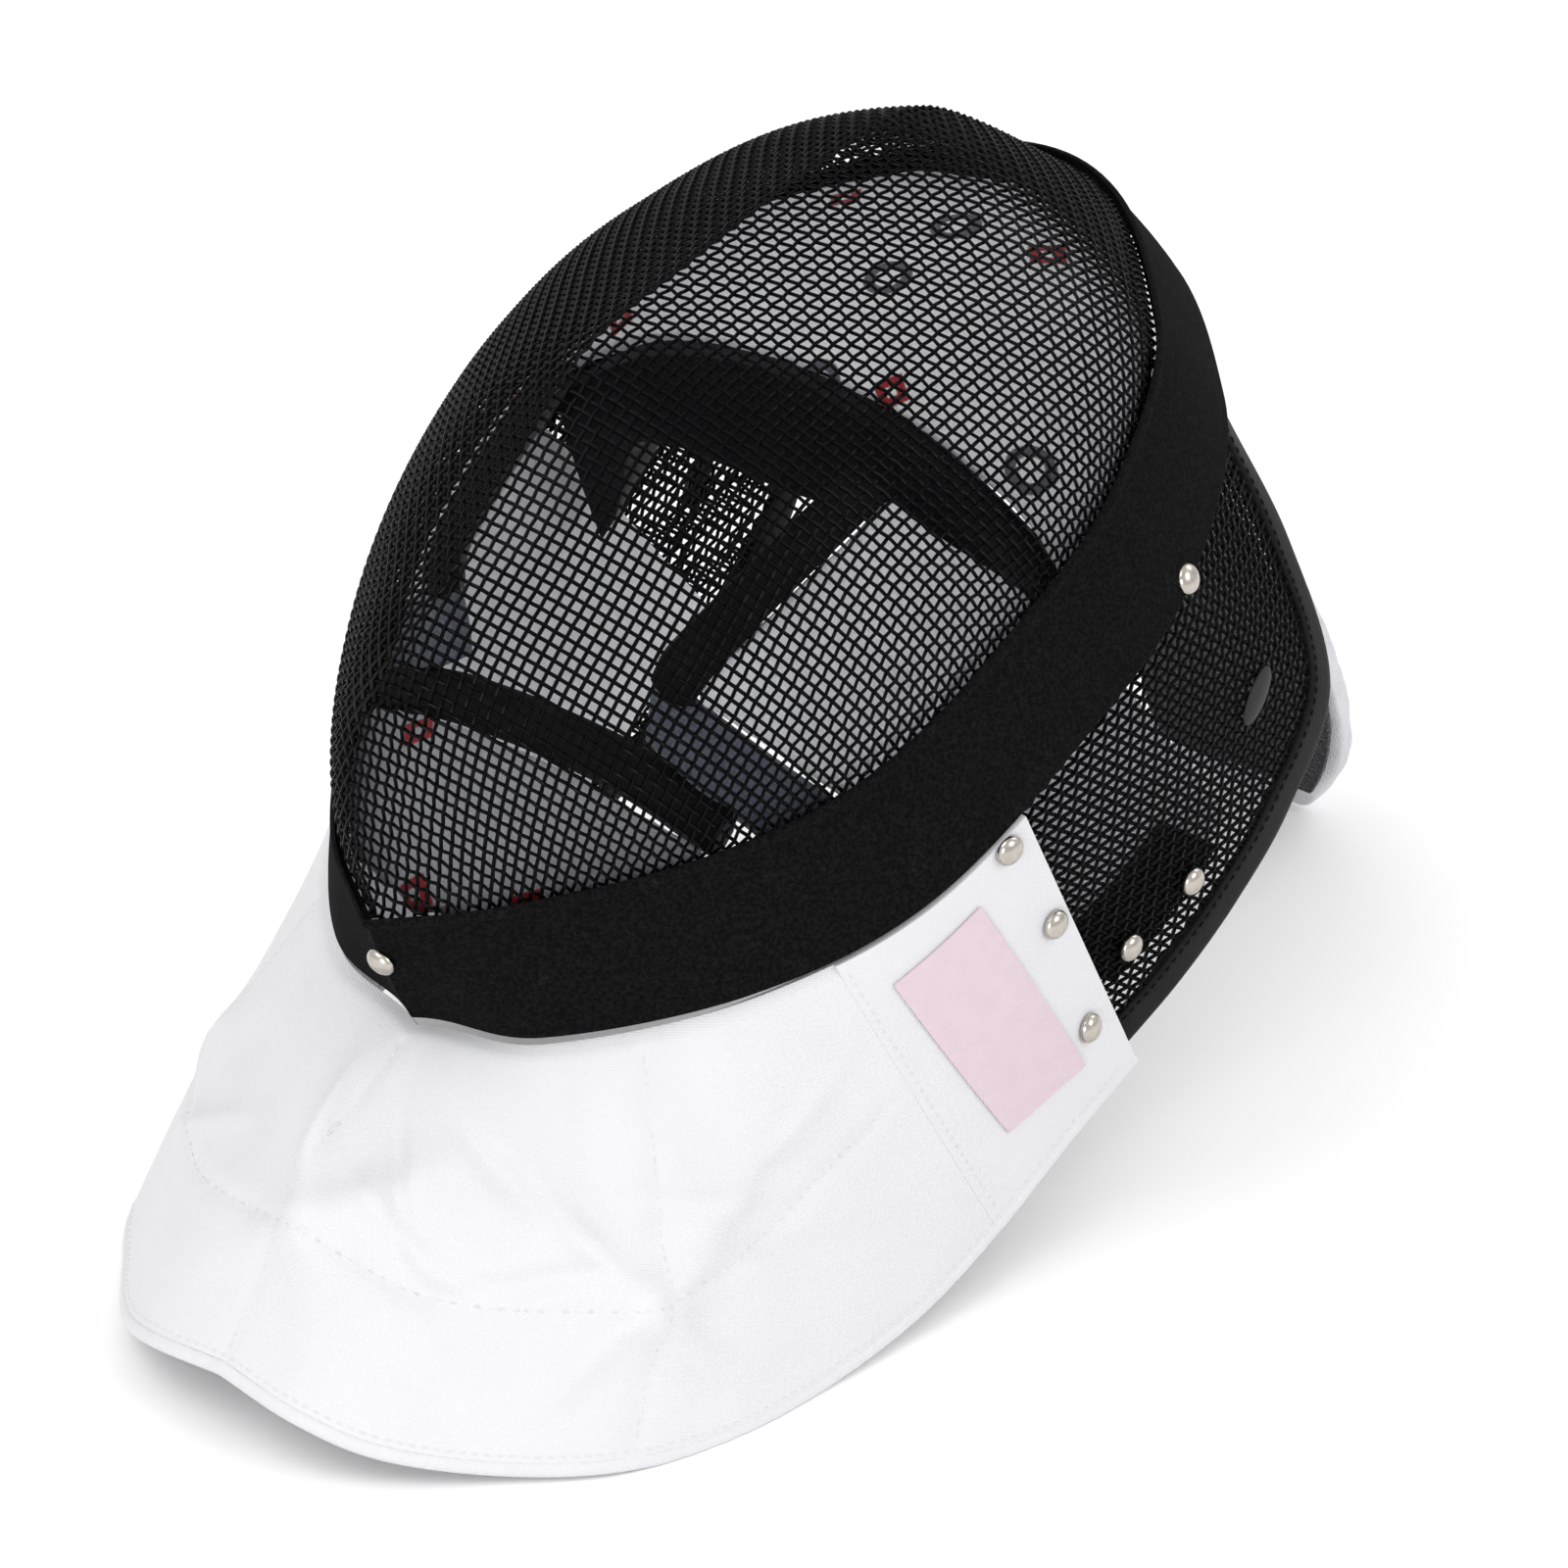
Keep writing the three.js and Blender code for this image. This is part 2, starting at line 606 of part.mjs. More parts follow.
// The bound lower face of the forehead pad, from its front edge back to the wearer's brow and temples.
function lipPoint(u, v) {
  return foreheadEdgeAt(u).lerp(foreheadLipAt(u), v);
}

function cheekPoint(u, v) {
  const t = THREE.MathUtils.lerp(cheekTop, cheekFoot, u);
  return padPoint(cheekEdgeAt(u * cheekShare), footPoint(t), v, cheekSwell);
}

function gussetPoint(u, v) {
  const t = THREE.MathUtils.lerp(gussetTop, gussetFoot, u);
  return padPoint(cheekEdgeAt(THREE.MathUtils.lerp(gussetShare, 1, u)), footPoint(t), v, cheekSwell);
}

function chinPoint(u, v) {
  const side = 2 * u - 1;
  const foot = footPoint(THREE.MathUtils.lerp(chinMiddle, chinFoot, Math.abs(side)));
  foot.x *= THREE.MathUtils.clamp(3 * side, -1, 1);
  return padPoint(chinEdgeAt(u), foot, v, chinSwell * (1 - side ** 2));
}

function addPadding() {
  addPiece("forehead_pad", sheetSolid(padFrom(foreheadPoint, padSeam), 16, 7, padWall, padWall / 2), "padding");
  addPiece("forehead_binding", sheetSolid(lipPoint, 18, 3, padWall, padWall / 2), "binding");
  addBoundPad("cheek_pad", cheekPoint, 6, 5, slimBinding, "padding", true);
  addBoundPad("chin_pad", chinPoint, 12, 5, slimBinding, "padding");
  addPair("cheek_gusset", sheetSolid(gussetPoint, 2, 4, gussetWall, gussetWall / 2), "navy");
  addSidePatch("strap_anchor", strapAnchor, [3, 2], -meshWall - clearance, "binding");
  addSidePatch("side_lining", sideLining, [6, 5], -meshWall - liningWall - 2 * clearance, "padding");
}

// A thin patch inside the side mesh, between two shares of its height and of its depth.
function addSidePatch(name, { low, high, rearHigh, front, rear }, [columns, rows], lift, finish) {
  const { lerp } = THREE.MathUtils;
  const surface = (u, v) => sidePoint(lerp(low, lerp(high, rearHigh, v), u), lerp(front, rear, v));
  addPair(name, sheetSolid(surface, columns, rows, liningWall, lift), finish);
}

// The tongue is a strip along its middle line, with a thin dark lining on the face towards the head.
function tonguePoint(along, side, inset) {
  const line = openCurve(
    tongueLine.map((row) => new THREE.Vector3(row.width, row.back * tongueReach, row.up * halfHeight)),
  );
  const middle = line(along);
  const halfWidthHere = THREE.MathUtils.lerp(tongueRootHalfWidth, tongueHalfWidth, middle.x) - inset;
  return new THREE.Vector3(side * halfWidthHere, middle.y, middle.z);
}

function addTongue() {
  const hub = new THREE.Vector3(0, 100, 0);
  const outer = (u, v) => tonguePoint(u, 2 * v - 1, 0);
  addPiece("tongue", sheetSolid(outer, 20, 6, tongueWall, tongueWall / 2, hub), "padding");
  const inner = (u, v) => tonguePoint(THREE.MathUtils.lerp(0.06, 0.93, u), 2 * v - 1, 5);
  const sink = -tongueWall / 2 - clearance;
  addPiece("tongue_lining", sheetSolid(inner, 16, 4, tongueLiningWall, sink, hub), "navy");
}

function domeGeometry(height) {
  const profile = [
    [0, 0],
    [1, 0],
    [1, 0.2],
    [0.9, 0.55],
    [0.6, 0.88],
    [0, 1],
  ].map(([r, h]) => new THREE.Vector2(r, h * height));
  return new THREE.LatheGeometry(profile, domeSides).rotateX(Math.PI / 2);
}

function surfaceFrame(surface, u, v) {
  const step = 0.01;
  const point = surface(u, v);
  const du = surface(u + step, v).sub(surface(u - step, v));
  const dv = surface(u, v + step).sub(surface(u, v - step));
  const normal = du.clone().cross(dv).normalize();
  if (normal.dot(point.clone().sub(headCentre)) < 0) normal.negate();
  return { point, normal, along: du.normalize() };
}

// A low dome that stands on a surface frame, stretched along it where it is oval.
function domeOn({ point, normal, along }, lift, radius, height, stretch = 1) {
  const sideways = new THREE.Vector3().crossVectors(normal, along).normalize();
  const forwards = new THREE.Vector3().crossVectors(sideways, normal).normalize();
  const place = new THREE.Matrix4().makeBasis(
    forwards.multiplyScalar(radius * stretch),
    sideways.multiplyScalar(radius),
    normal.clone(),
  );
  place.setPosition(point.clone().addScaledVector(normal, lift));
  return domeGeometry(height).applyMatrix4(place);
}

// Where the rivets and the cap sit: on the band (contour share, share of its width), the tab (around, down)
// and the side mesh (up, back).
const chinRivet = 0.36;
const bandRivets = [{ name: "temple_rivet", u: 0.712, v: 0.93 }];
const tabRivets = [
  { name: "tab_rivet_front", u: 0.972, v: 0.03 },
  { name: "tab_rivet_middle", u: 0.98, v: 0.35 },
  { name: "tab_rivet_rear", u: 0.966, v: 0.73 },
];
const meshRivets = [
  { name: "strap_rivet_upper", u: 0.335, v: 0.81 },
  { name: "strap_rivet_lower", u: 0.195, v: 0.78 },
];
const capPlace = { u: 0.615, v: 0.66 };

function addRivetPairs(places, surface, seat) {
  for (const { name, u, v } of places) {
    addPair(name, domeOn(surfaceFrame(surface, u, v), seat, rivetRadius, rivetHeight), "nickel");
  }
}

function addRivets() {
  const top = bandWall - bandSink;
  const { normal, across } = bandFrame(0);
  const chinFrame = { point: bandPoint(0, bandWidth * chinRivet, top), normal, along: across };
  addPiece("chin_rivet", domeOn(chinFrame, 2 * clearance, rivetRadius, rivetHeight), "nickel");
  addRivetPairs(bandRivets, (u, v) => bandPoint(u, v * bandWidth, top), bandRivetSeat);
  addRivetPairs(tabRivets, bibPoint, rivetSeat);
  addRivetPairs(meshRivets, sidePoint, rivetSeat);
  const capFrame = surfaceFrame(sidePoint, capPlace.u, capPlace.v);
  addPair("side_cap", domeOn(capFrame, rivetSeat, capRadius, capHeight, capLength), "cap");
}

addShell();
addBand();
addBib();
addPadding();
addTongue();
addRivets();

// The lean at which hem and tongue touch one level surface.
function lowest(piece, lean) {
  const up = new THREE.Vector3(0, -Math.sin(lean), Math.cos(lean));
  const positions = piece.geometry.attributes.position;
  const point = new THREE.Vector3();
  let low = Infinity;
  for (let i = 0; i < positions.count; i += 1) {
    low = Math.min(low, point.fromBufferAttribute(positions, i).dot(up));
  }
  return low;
}

function restingLean() {
  const hem = mask.getObjectByName("bib_hem");
  const tongue = mask.getObjectByName("tongue");
  let [upright, flat] = [0, Math.PI / 2];
  for (let i = 0; i < 40; i += 1) {
    const lean = (upright + flat) / 2;
    if (lowest(hem, lean) < lowest(tongue, lean)) upright = lean;
    else flat = lean;
  }
  return (upright + flat) / 2;
}

// Cloth and padding are pressed flat where they rest.
function pressFlat(piece) {
  piece.updateWorldMatrix(true, false);
  const toMask = piece.matrixWorld.clone().invert();
  const positions = piece.geometry.attributes.position;
  const point = new THREE.Vector3();
  for (let i = 0; i < positions.count; i += 1) {
    point.fromBufferAttribute(positions, i).applyMatrix4(piece.matrixWorld);
    point.z = Math.max(0, point.z);
    point.applyMatrix4(toMask);
    positions.setXYZ(i, point.x, point.y, point.z);
  }
}

const fencingMask = new THREE.Group();
fencingMask.add(mask);
mask.rotation.x = -restingLean();
const bounds = new THREE.Box3().setFromObject(fencingMask, true);
mask.position.set(0, -(bounds.min.y + bounds.max.y) / 2, -bounds.min.z - pressDepth);
for (const name of ["bib_hem", "tongue"]) pressFlat(mask.getObjectByName(name));
export default fencingMask;
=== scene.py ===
"""Fencing mask: woven wire face, suede trim band, satin bib, padding and rear tongue.

Sizes are millimetres in the mask's own frame: X to the wearer's left, Y to the back, Z to the crown.
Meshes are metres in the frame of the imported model, where the mask leans back on its bib and its tongue.
"""

import logging
import math
from dataclasses import dataclass
from enum import Enum
from typing import Callable

import bmesh
import bpy
import numpy as np
from mathutils import Matrix, Vector


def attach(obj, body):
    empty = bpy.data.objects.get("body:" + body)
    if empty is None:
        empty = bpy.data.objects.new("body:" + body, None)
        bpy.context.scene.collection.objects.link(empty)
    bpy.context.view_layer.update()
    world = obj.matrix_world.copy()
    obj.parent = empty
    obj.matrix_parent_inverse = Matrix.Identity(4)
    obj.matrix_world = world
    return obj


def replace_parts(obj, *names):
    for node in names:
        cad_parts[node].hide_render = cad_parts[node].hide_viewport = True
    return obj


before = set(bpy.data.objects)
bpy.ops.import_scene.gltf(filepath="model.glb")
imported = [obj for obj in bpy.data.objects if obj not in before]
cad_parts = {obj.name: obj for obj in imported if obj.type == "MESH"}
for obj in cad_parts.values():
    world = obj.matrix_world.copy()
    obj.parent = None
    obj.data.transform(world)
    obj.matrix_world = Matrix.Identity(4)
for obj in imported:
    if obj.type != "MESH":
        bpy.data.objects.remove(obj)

log = logging.getLogger("fencing_mask")
Array = np.ndarray
Piece = bpy.types.Object
Node = bpy.types.Node
Socket = bpy.types.NodeSocket
Surface = Callable[[Array, Array], Array]
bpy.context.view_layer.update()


class Side(Enum):
    """Side of the mask, as the sign of X."""

    LEFT = 1
    RIGHT = -1

    @property
    def word(self) -> str:
        """Name ending of the pieces on this side."""
        return self.name.lower()


class Way(Enum):
    """Way in which a wire runs through a woven net."""

    ACROSS = 0
    ALONG = 1


def unit(vectors: Array) -> Array:
    """Scales vectors with X, Y and Z on their last axis to length one."""
    return vectors / np.maximum(np.linalg.norm(vectors, axis=-1, keepdims=True), 1e-9)


def lerp(start: Array, end: Array, share: Array) -> Array:
    """Returns the point or number at a share of the way from start to end."""
    return start + (end - start) * share


def run_along(points: Array) -> Array:
    """Returns how far along a line of points each of them lies."""
    return np.concatenate([[0], np.cumsum(np.linalg.norm(np.diff(points, axis=0), axis=1))])


@dataclass
class Curve:
    """Smooth curve through the rows of a short table."""

    rows: Array
    before: Array | None = None
    after: Array | None = None

    def at(self, share: Array) -> Array:
        """Reads the curve.

        Args:
            share: Shares of the way from the first row to the last.

        Returns:
            Points with X, Y and Z on the last axis.
        """
        rows = np.asarray(self.rows, float)
        before = 2 * rows[0] - rows[1] if self.before is None else self.before
        after = 2 * rows[-1] - rows[-2] if self.after is None else self.after
        points = np.vstack([before, rows, after])
        x = np.clip(np.nan_to_num(np.asarray(share, float)), 0, 1) * (len(rows) - 1)
        i = np.minimum(np.floor(x).astype(int), len(rows) - 2)
        f = (x - i)[..., None]
        a, b, c, d = points[i], points[i + 1], points[i + 2], points[i + 3]
        square, cube = 2 * a - 5 * b + 4 * c - d, 3 * b - a - 3 * c + d
        return 0.5 * (2 * b + (c - a) * f + square * f**2 + cube * f**3)


@dataclass
class MaskForm:
    """Driving sizes of the mask and the surfaces that its pieces lie on."""

    half_width: float = 96
    face_depth: float = 104
    half_height: float = 148.5
    crease: float = math.radians(22)
    crown_fullness: float = 1.5
    clearance: float = 0.4
    mesh_wall: float = 2
    band_width: float = 39
    band_wall: float = 1.6
    band_sink: float = 1.2
    rear_half_width: float = 102
    rear_depth: float = 151
    side_tuck: float = 17
    side_bulge: float = 3
    side_span: tuple[float, float] = (0.3, 0.83)
    bib_half_width: float = 113
    bib_back: float = 138
    bib_drop: float = 122.5
    bib_wall: float = 3
    bib_bulge: float = 5
    bib_fold: float = 4.5
    hem_width: float = 4.5
    seam_offset: float = 1.3
    lean: float = math.radians(49.3204)
    shift: tuple[float, float, float] = (0, -16.079, 182.208)
    # ridge front, ridge up, trim front, trim up, trim out, flare, rise: shares from chin to crown
    contour: tuple = (
        (0.55, -1.0, 0.55, -1.0, 0.0, 0.0, -0.31),
        (0.95, -0.62, 0.47, -0.87, 0.32, 0.19, -0.53),
        (1.0, -0.276, 0.28, -0.62, 0.67, 0.3, -0.55),
        (0.995, 0.028, 0.115, -0.337, 0.885, 0.33, -0.48),
        (0.82, 0.283, 0.043, 0.034, 1.0, 0.31, -0.33),
        (0.567, 0.6, -0.043, 0.357, 0.98, 0.31, -0.19),
        (0.288, 0.849, -0.197, 0.724, 0.69, 0.19, -0.06),
        (-0.33, 0.993, -0.33, 0.993, 0.0, 0.0, 0.03),
    )
    # out, back, up: shares of the side mesh's rear edge from its lower corner to the band
    rear_edge: tuple = (
        (0.98, 0.915, -0.418),
        (0.99, 0.973, -0.222),
        (1.0, 1.0, -0.027),
        (1.0, 1.0, 0.182),
        (0.98, 0.93, 0.418),
        (0.88, 0.656, 0.572),
        (0.705, 0.457, 0.687),
    )
    # contour, out, back, drop: shares of the bib's lower edge from its centre to the tab's corner
    bib_edge: tuple = (
        (0.0, 0.0, -0.11, 0.97),
        (0.05, 0.24, -0.09, 0.985),
        (0.1, 0.43, 0.0, 0.96),
        (0.15, 0.635, 0.135, 0.86),
        (0.2, 0.82, 0.255, 0.725),
        (0.25, 0.92, 0.41, 0.55),
        (0.29, 0.965, 0.555, 0.34),
        (0.33, 0.99, 0.7, 0.085),
        (0.38, 0.995, 0.797, -0.175),
        (0.44, 0.99, 0.877, -0.453),
        (0.51, 0.956, 1.0, -0.706),
    )
    # around, down, turn, reach, spread, lift of the bib's main folds
    bib_folds: tuple = (
        (0.0, 0.45, 62, 0.34, 0.07, 1.0),
        (0.06, 0.5, -38, 0.3, 0.07, 0.8),
        (-0.2, 0.35, 30, 0.3, 0.09, -0.8),
        (0.22, 0.62, 12, 0.25, 0.08, -0.7),
        (0.4, 0.6, 48, 0.3, 0.07, 1.0),
        (0.44, 0.55, -42, 0.3, 0.07, 0.9),
        (0.58, 0.45, 8, 0.2, 0.09, -0.7),
        (-0.45, 0.55, -46, 0.3, 0.07, 0.9),
        (-0.6, 0.5, 20, 0.25, 0.09, -0.6),
    )

    def __post_init__(self) -> None:
        """Makes the curves that the surfaces are drawn from."""
        table = np.array(self.contour)
        ridge = table[:, [4, 0, 1]] * [0, -self.face_depth, self.half_height]
        trim = table[:, [4, 2, 3]] * [self.half_width, -self.face_depth, self.half_height]
        flare, rise = table[:, 5], table[:, 6]
        across = np.stack([flare, np.sqrt(1 - flare**2 - rise**2), rise], 1)
        self.ridge = self._half_loop(ridge, True)
        self.trim = self._half_loop(trim, True)
        self.across = self._half_loop(across, False)
        rear = np.array(self.rear_edge) * [self.rear_half_width, self.rear_depth, self.half_height]
        self.rear = Curve(rear)
        edge = np.array(self.bib_edge)
        places = edge[:, 1:] * [self.bib_half_width, self.bib_back, -self.bib_drop]
        self.bib_rim = Curve(places - [0, 0, self.half_height])
        self.bib_contour = Curve(np.stack([edge[:, 0], 0 * edge[:, 0], 0 * edge[:, 0]], 1))

    def _half_loop(self, rows: Array, pointed: bool) -> Curve:
        """Makes a curve that meets its mirror image smoothly, or in a point at the chin.

        Args:
            rows: Points from chin to crown.
            pointed: Whether the loop has a point at the chin.

        Returns:
            The curve on the wearer's left.
        """
        mirror = np.array([-1, 1, 1])
        first = 2 * rows[0] - rows[1] if pointed else rows[1] * mirror
        last = rows[-2] * mirror * [self.crown_fullness, 1, 1]
        return Curve(rows, first, last)

    def band_frame(self, share: Array) -> tuple[Array, Array, Array]:
        """Finds the band's inner edge, its direction across and its outward normal.

        Args:
            share: Shares of the contour, negative on the wearer's right.

        Returns:
            Three arrays of vectors.
        """
        share = np.asarray(share, float)
        t = np.abs(share)
        inner = self.trim.at(t)
        across = unit(self.across.at(t))
        high, low = np.minimum(1, t + 0.01), np.maximum(0, t - 0.01)
        middle = [self.trim.at(s) + unit(self.across.at(s)) * self.band_width / 2 for s in (high, low)]
        tangent = middle[0] - middle[1]
        tangent[t <= 0] = [1, 0, 0]
        tangent[t >= 1] = [-1, 0, 0]
        normal = unit(np.cross(across, tangent))
        turn = np.where(share < 0, -1.0, 1.0)
        for vectors in (inner, across, normal):
            vectors[..., 0] *= turn
        return inner, across, normal

    def band(self, share: Array, along: Array, lift: Array) -> Array:
        """Finds points on the band.

        Args:
            share: Shares of the contour, negative on the wearer's right.
            along: Millimetres across the band from its inner edge.
            lift: Millimetres above its middle surface.

        Returns:
            The points.
        """
        inner, across, normal = self.band_frame(share)
        along, lift = np.asarray(along, float)[..., None], np.asarray(lift, float)[..., None]
        return inner + across * along + normal * lift

    def front(self, share: Array, side: Array) -> Array:
        """Finds points of the face mesh.

        Args:
            share: Shares of the contour from chin to crown.
            side: 0 at the ridge and 1 at the left trim.

        Returns:
            The points.
        """
        ridge, trim = self.ridge.at(share), self.trim.at(share)
        angle = self.crease + np.abs(side) * (math.pi / 2 - self.crease)
        out = (np.sin(angle) - math.sin(self.crease)) / (1 - math.sin(self.crease))
        back = 1 - np.cos(angle) / math.cos(self.crease)
        return np.stack(
            [
                np.sign(side) * trim[..., 0] * out,
                lerp(ridge[..., 1], trim[..., 1], back),
                lerp(ridge[..., 2], trim[..., 2], (out + back) / 2),
            ],
            -1,
        )

    def side(self, up: Array, back: Array) -> Array:
        """Finds points of the left side mesh.

        Args:
            up: Shares up its rear edge.
            back: Shares of the way from the band to the rear edge.

        Returns:
            The points.
        """
        up, back = np.asarray(up, float), np.asarray(back, float)
        share = lerp(self.side_span[0], self.side_span[1], up)
        lift = -self.band_sink - 1.5 * self.clearance + 0 * up
        start = self.band(share, self.band_width - self.side_tuck + 0 * up, lift)
        points = lerp(start, self.rear.at(up), back[..., None])
        points[..., 0] += self.side_bulge * np.sin(math.pi * back) ** 2 * (1 - up**2)
        return points

    def fold_lift(self, around: Array, down: Array, folds: tuple) -> Array:
        """Sums the folds of a table.

        Args:
            around: -1 to 1 from tab to tab.
            down: 0 at the band and 1 at the hem.
            folds: Rows of around, down, turn, reach, spread and lift.

        Returns:
            Heights as shares of the deepest fold.
        """
        lift = np.zeros(np.broadcast(around, down).shape)
        for place, depth, turn, reach, spread, height in folds:
            angle = math.radians(turn)
            x, y = (around - place) * 2.4, down - depth
            along = x * math.cos(angle) + y * math.sin(angle)
            cross = y * math.cos(angle) - x * math.sin(angle)
            lift += height * np.exp(-((along / reach) ** 2) - (cross / spread) ** 2)
        return lift * np.sin(math.pi * down)

    def bib(self, around: Array, down: Array) -> Array:
        """Finds points of the bib.

        Args:
            around: -1 to 1 from tab to tab.
            down: 0 at the band and 1 at the hem.

        Returns:
            The points.
        """
        around, down = np.broadcast_arrays(np.asarray(around, float), np.asarray(down, float))
        share = np.abs(around)
        edge = self.bib_rim.at(share)
        seam_at = self.bib_contour.at(share)[..., 0]
        offset = np.full(share.shape, self.band_width + self.seam_offset)
        seam = self.band(seam_at, offset, np.full(share.shape, self.band_wall - self.band_sink))
        outwards = edge - [0, self.rear_depth / 5 + self.bib_half_width / 4, 0]
        outwards[..., 2] = 0
        points = lerp(seam, edge, down[..., None])
        bulge = self.bib_bulge * np.sin(math.pi * down)
        bulge = bulge + self.bib_fold * self.fold_lift(around, down, self.bib_folds)
        points = points + unit(outwards) * ((1 - share**4) * bulge)[..., None]
        points[..., 0] *= np.where(around < 0, -1, 1)
        return points

    def placed(self, points: Array) -> Array:
        """Turns points of the mask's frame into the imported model's frame.

        Args:
            points: Millimetres in the mask's frame.

        Returns:
            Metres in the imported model's frame.
        """
        x, y, z = np.moveaxis(np.asarray(points, float), -1, 0)
        c, s = math.cos(self.lean), math.sin(self.lean)
        turned = np.stack([x, y * c + z * s, z * c - y * s], -1)
        return (turned + self.shift) / 1000

    def turned(self, vectors: Array) -> Array:
        """Returns directions of the mask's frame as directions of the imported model's frame."""
        return self.placed(vectors) * 1000 - np.asarray(self.shift)


FORM = MaskForm()
# a point inside the mask, from which outwards is measured
HEAD = np.array([0, FORM.rear_depth / 5, 0])


@dataclass
class NodeTree:
    """Short way to add nodes to a material or a group."""

    tree: bpy.types.NodeTree

    def feed(self, node: Node, **values: object) -> Node:
        """Sets or links inputs of a node.

        Args:
            node: The node.
            values: Inputs by name, with spaces as underscores, or a0, a1 and so on by place.

        Returns:
            The node.
        """
        for key, value in values.items():
            place = int(key[1:]) if key[0] == "a" and key[1:].isdigit() else key.replace("_", " ")
            if isinstance(value, Socket):
                self.link(value, node.inputs[place])
            else:
                node.inputs[place].default_value = value
        return node

    def link(self, value: Socket, target: Socket) -> None:
        """Links two sockets."""
        self.tree.links.new(value, target)

    def add(self, kind: str, settings: dict | None = None, **values: object) -> Node:
        """Adds a node.

        Args:
            kind: Node type without its ShaderNode prefix.
            settings: Properties of the node.
            values: Inputs, as for feed.

        Returns:
            The node.
        """
        node = self.tree.nodes.new("ShaderNode" + kind)
        for key, value in (settings or {}).items():
            setattr(node, key, value)
        return self.feed(node, **values)

    def group(self, name: str, **values: object) -> Node:
        """Adds a shared group by its name."""
        return self.add("Group", {"node_tree": shared_group(name)}, **values)

    def math(self, operation: str, a: object, b: object = 0.0) -> Socket:
        """Adds a Math node and returns its value."""
        return self.add("Math", {"operation": operation}, a0=a, a1=b).outputs[0]

    def vector(self, operation: str, *values: object) -> Node:
        """Adds a VectorMath node with its inputs in turn."""
        inputs = {f"a{number}": value for number, value in enumerate(values)}
        return self.add("VectorMath", {"operation": operation}, **inputs)

    def ramp(self, value: Socket, low: float, high: float) -> Socket:
        """Adds a smooth step from 0 at low to 1 at high and returns its value."""
        settings = {"interpolation_type": "SMOOTHSTEP"}
        return self.add("MapRange", settings, Value=value, From_Min=low, From_Max=high).outputs[0]

    def span(self, value: Socket, low: float, high: float) -> Socket:
        """Maps 0 to 1 onto low to high and returns the value."""
        return self.add("MapRange", None, Value=value, To_Min=low, To_Max=high).outputs[0]

    def mix(self, factor: object, a: object, b: object) -> Socket:
        """Adds a colour mix and returns its colour."""
        return self.add("Mix", {"data_type": "RGBA"}, a0=factor, a6=a, a7=b).outputs[2]


def group_shell(name: str, inputs: str, outputs: str) -> tuple[NodeTree, dict, dict]:
    """Starts a shader node group whose first input is a vector.

    Args:
        name: Name of the group.
        inputs: Names of its number inputs, with spaces between.
        outputs: Names of its number outputs.

    Returns:
        The tree, its input sockets and the sockets that take its results.
    """
    tree = bpy.data.node_groups.new(name, "ShaderNodeTree")
    tree.interface.new_socket("Vector", in_out="INPUT", socket_type="NodeSocketVector")
    for labels, way in ((inputs, "INPUT"), (outputs, "OUTPUT")):
        for label in labels.split():
            tree.interface.new_socket(label, in_out=way, socket_type="NodeSocketFloat")
    start, end = tree.nodes.new("NodeGroupInput"), tree.nodes.new("NodeGroupOutput")
    return NodeTree(tree), dict(start.outputs.items()), dict(end.inputs.items())


def weave_group() -> bpy.types.NodeTree:
    """Makes the group for woven cloth: two crossing thread directions and uneven threads.

    Returns:
        A group with Vector in millimetres, Pitch and Slub, and with Height and Tone.
    """
    tree, given, results = group_shell("weave", "Pitch Slub", "Height Tone")
    split = tree.add("SeparateXYZ", Vector=given["Vector"])
    turn = tree.math("DIVIDE", 2 * math.pi, given["Pitch"])
    warp = tree.math("SINE", tree.math("MULTIPLY", split.outputs[0], turn))
    weft = tree.math("SINE", tree.math("MULTIPLY", split.outputs[1], turn))
    crossing = tree.math("MULTIPLY", warp, weft)
    uneven = tree.add("TexNoise", Vector=given["Vector"], Scale=0.9, Detail=3.0, Roughness=0.6).outputs[0]
    slub = tree.math("MULTIPLY", tree.math("SUBTRACT", uneven, 0.5), given["Slub"])
    height = tree.math("ADD", tree.math("MULTIPLY", crossing, 0.5), slub)
    tree.link(height, results["Height"])
    tree.link(tree.ramp(height, -1.0, 1.0), results["Tone"])
    return tree.tree


def mottle_group() -> bpy.types.NodeTree:
    """Makes the group for slow, cloudy changes of tone.

    Returns:
        A group with Vector and Size in millimetres, and with Factor.
    """
    tree, given, results = group_shell("mottle", "Size", "Factor")
    scale = tree.math("DIVIDE", 1.0, given["Size"])
    noise = tree.add("TexNoise", Vector=given["Vector"], Scale=scale, Detail=4.0, Roughness=0.55).outputs[0]
    tree.link(tree.ramp(noise, 0.3, 0.7), results["Factor"])
    return tree.tree


def nap_group() -> bpy.types.NodeTree:
    """Makes the group for short brushed fibres with scuffs.

    Returns:
        A group with Vector in millimetres, and with Height and Scuff.
    """
    tree, given, results = group_shell("nap", "", "Height Scuff")
    fibre = tree.add("TexNoise", Vector=given["Vector"], Scale=0.9, Detail=5.0, Roughness=0.75).outputs[0]
    scale, turn = (0.05, 0.16, 0.1), (0.2, 0.4, 0.9)
    stretched = tree.add("Mapping", Vector=given["Vector"], Scale=scale, Rotation=turn).outputs[0]
    broad = tree.add("TexNoise", Vector=stretched, Scale=1.0, Detail=6.0, Roughness=0.7).outputs[0]
    tree.link(fibre, results["Height"])
    tree.link(tree.ramp(broad, 0.56, 0.8), results["Scuff"])
    return tree.tree


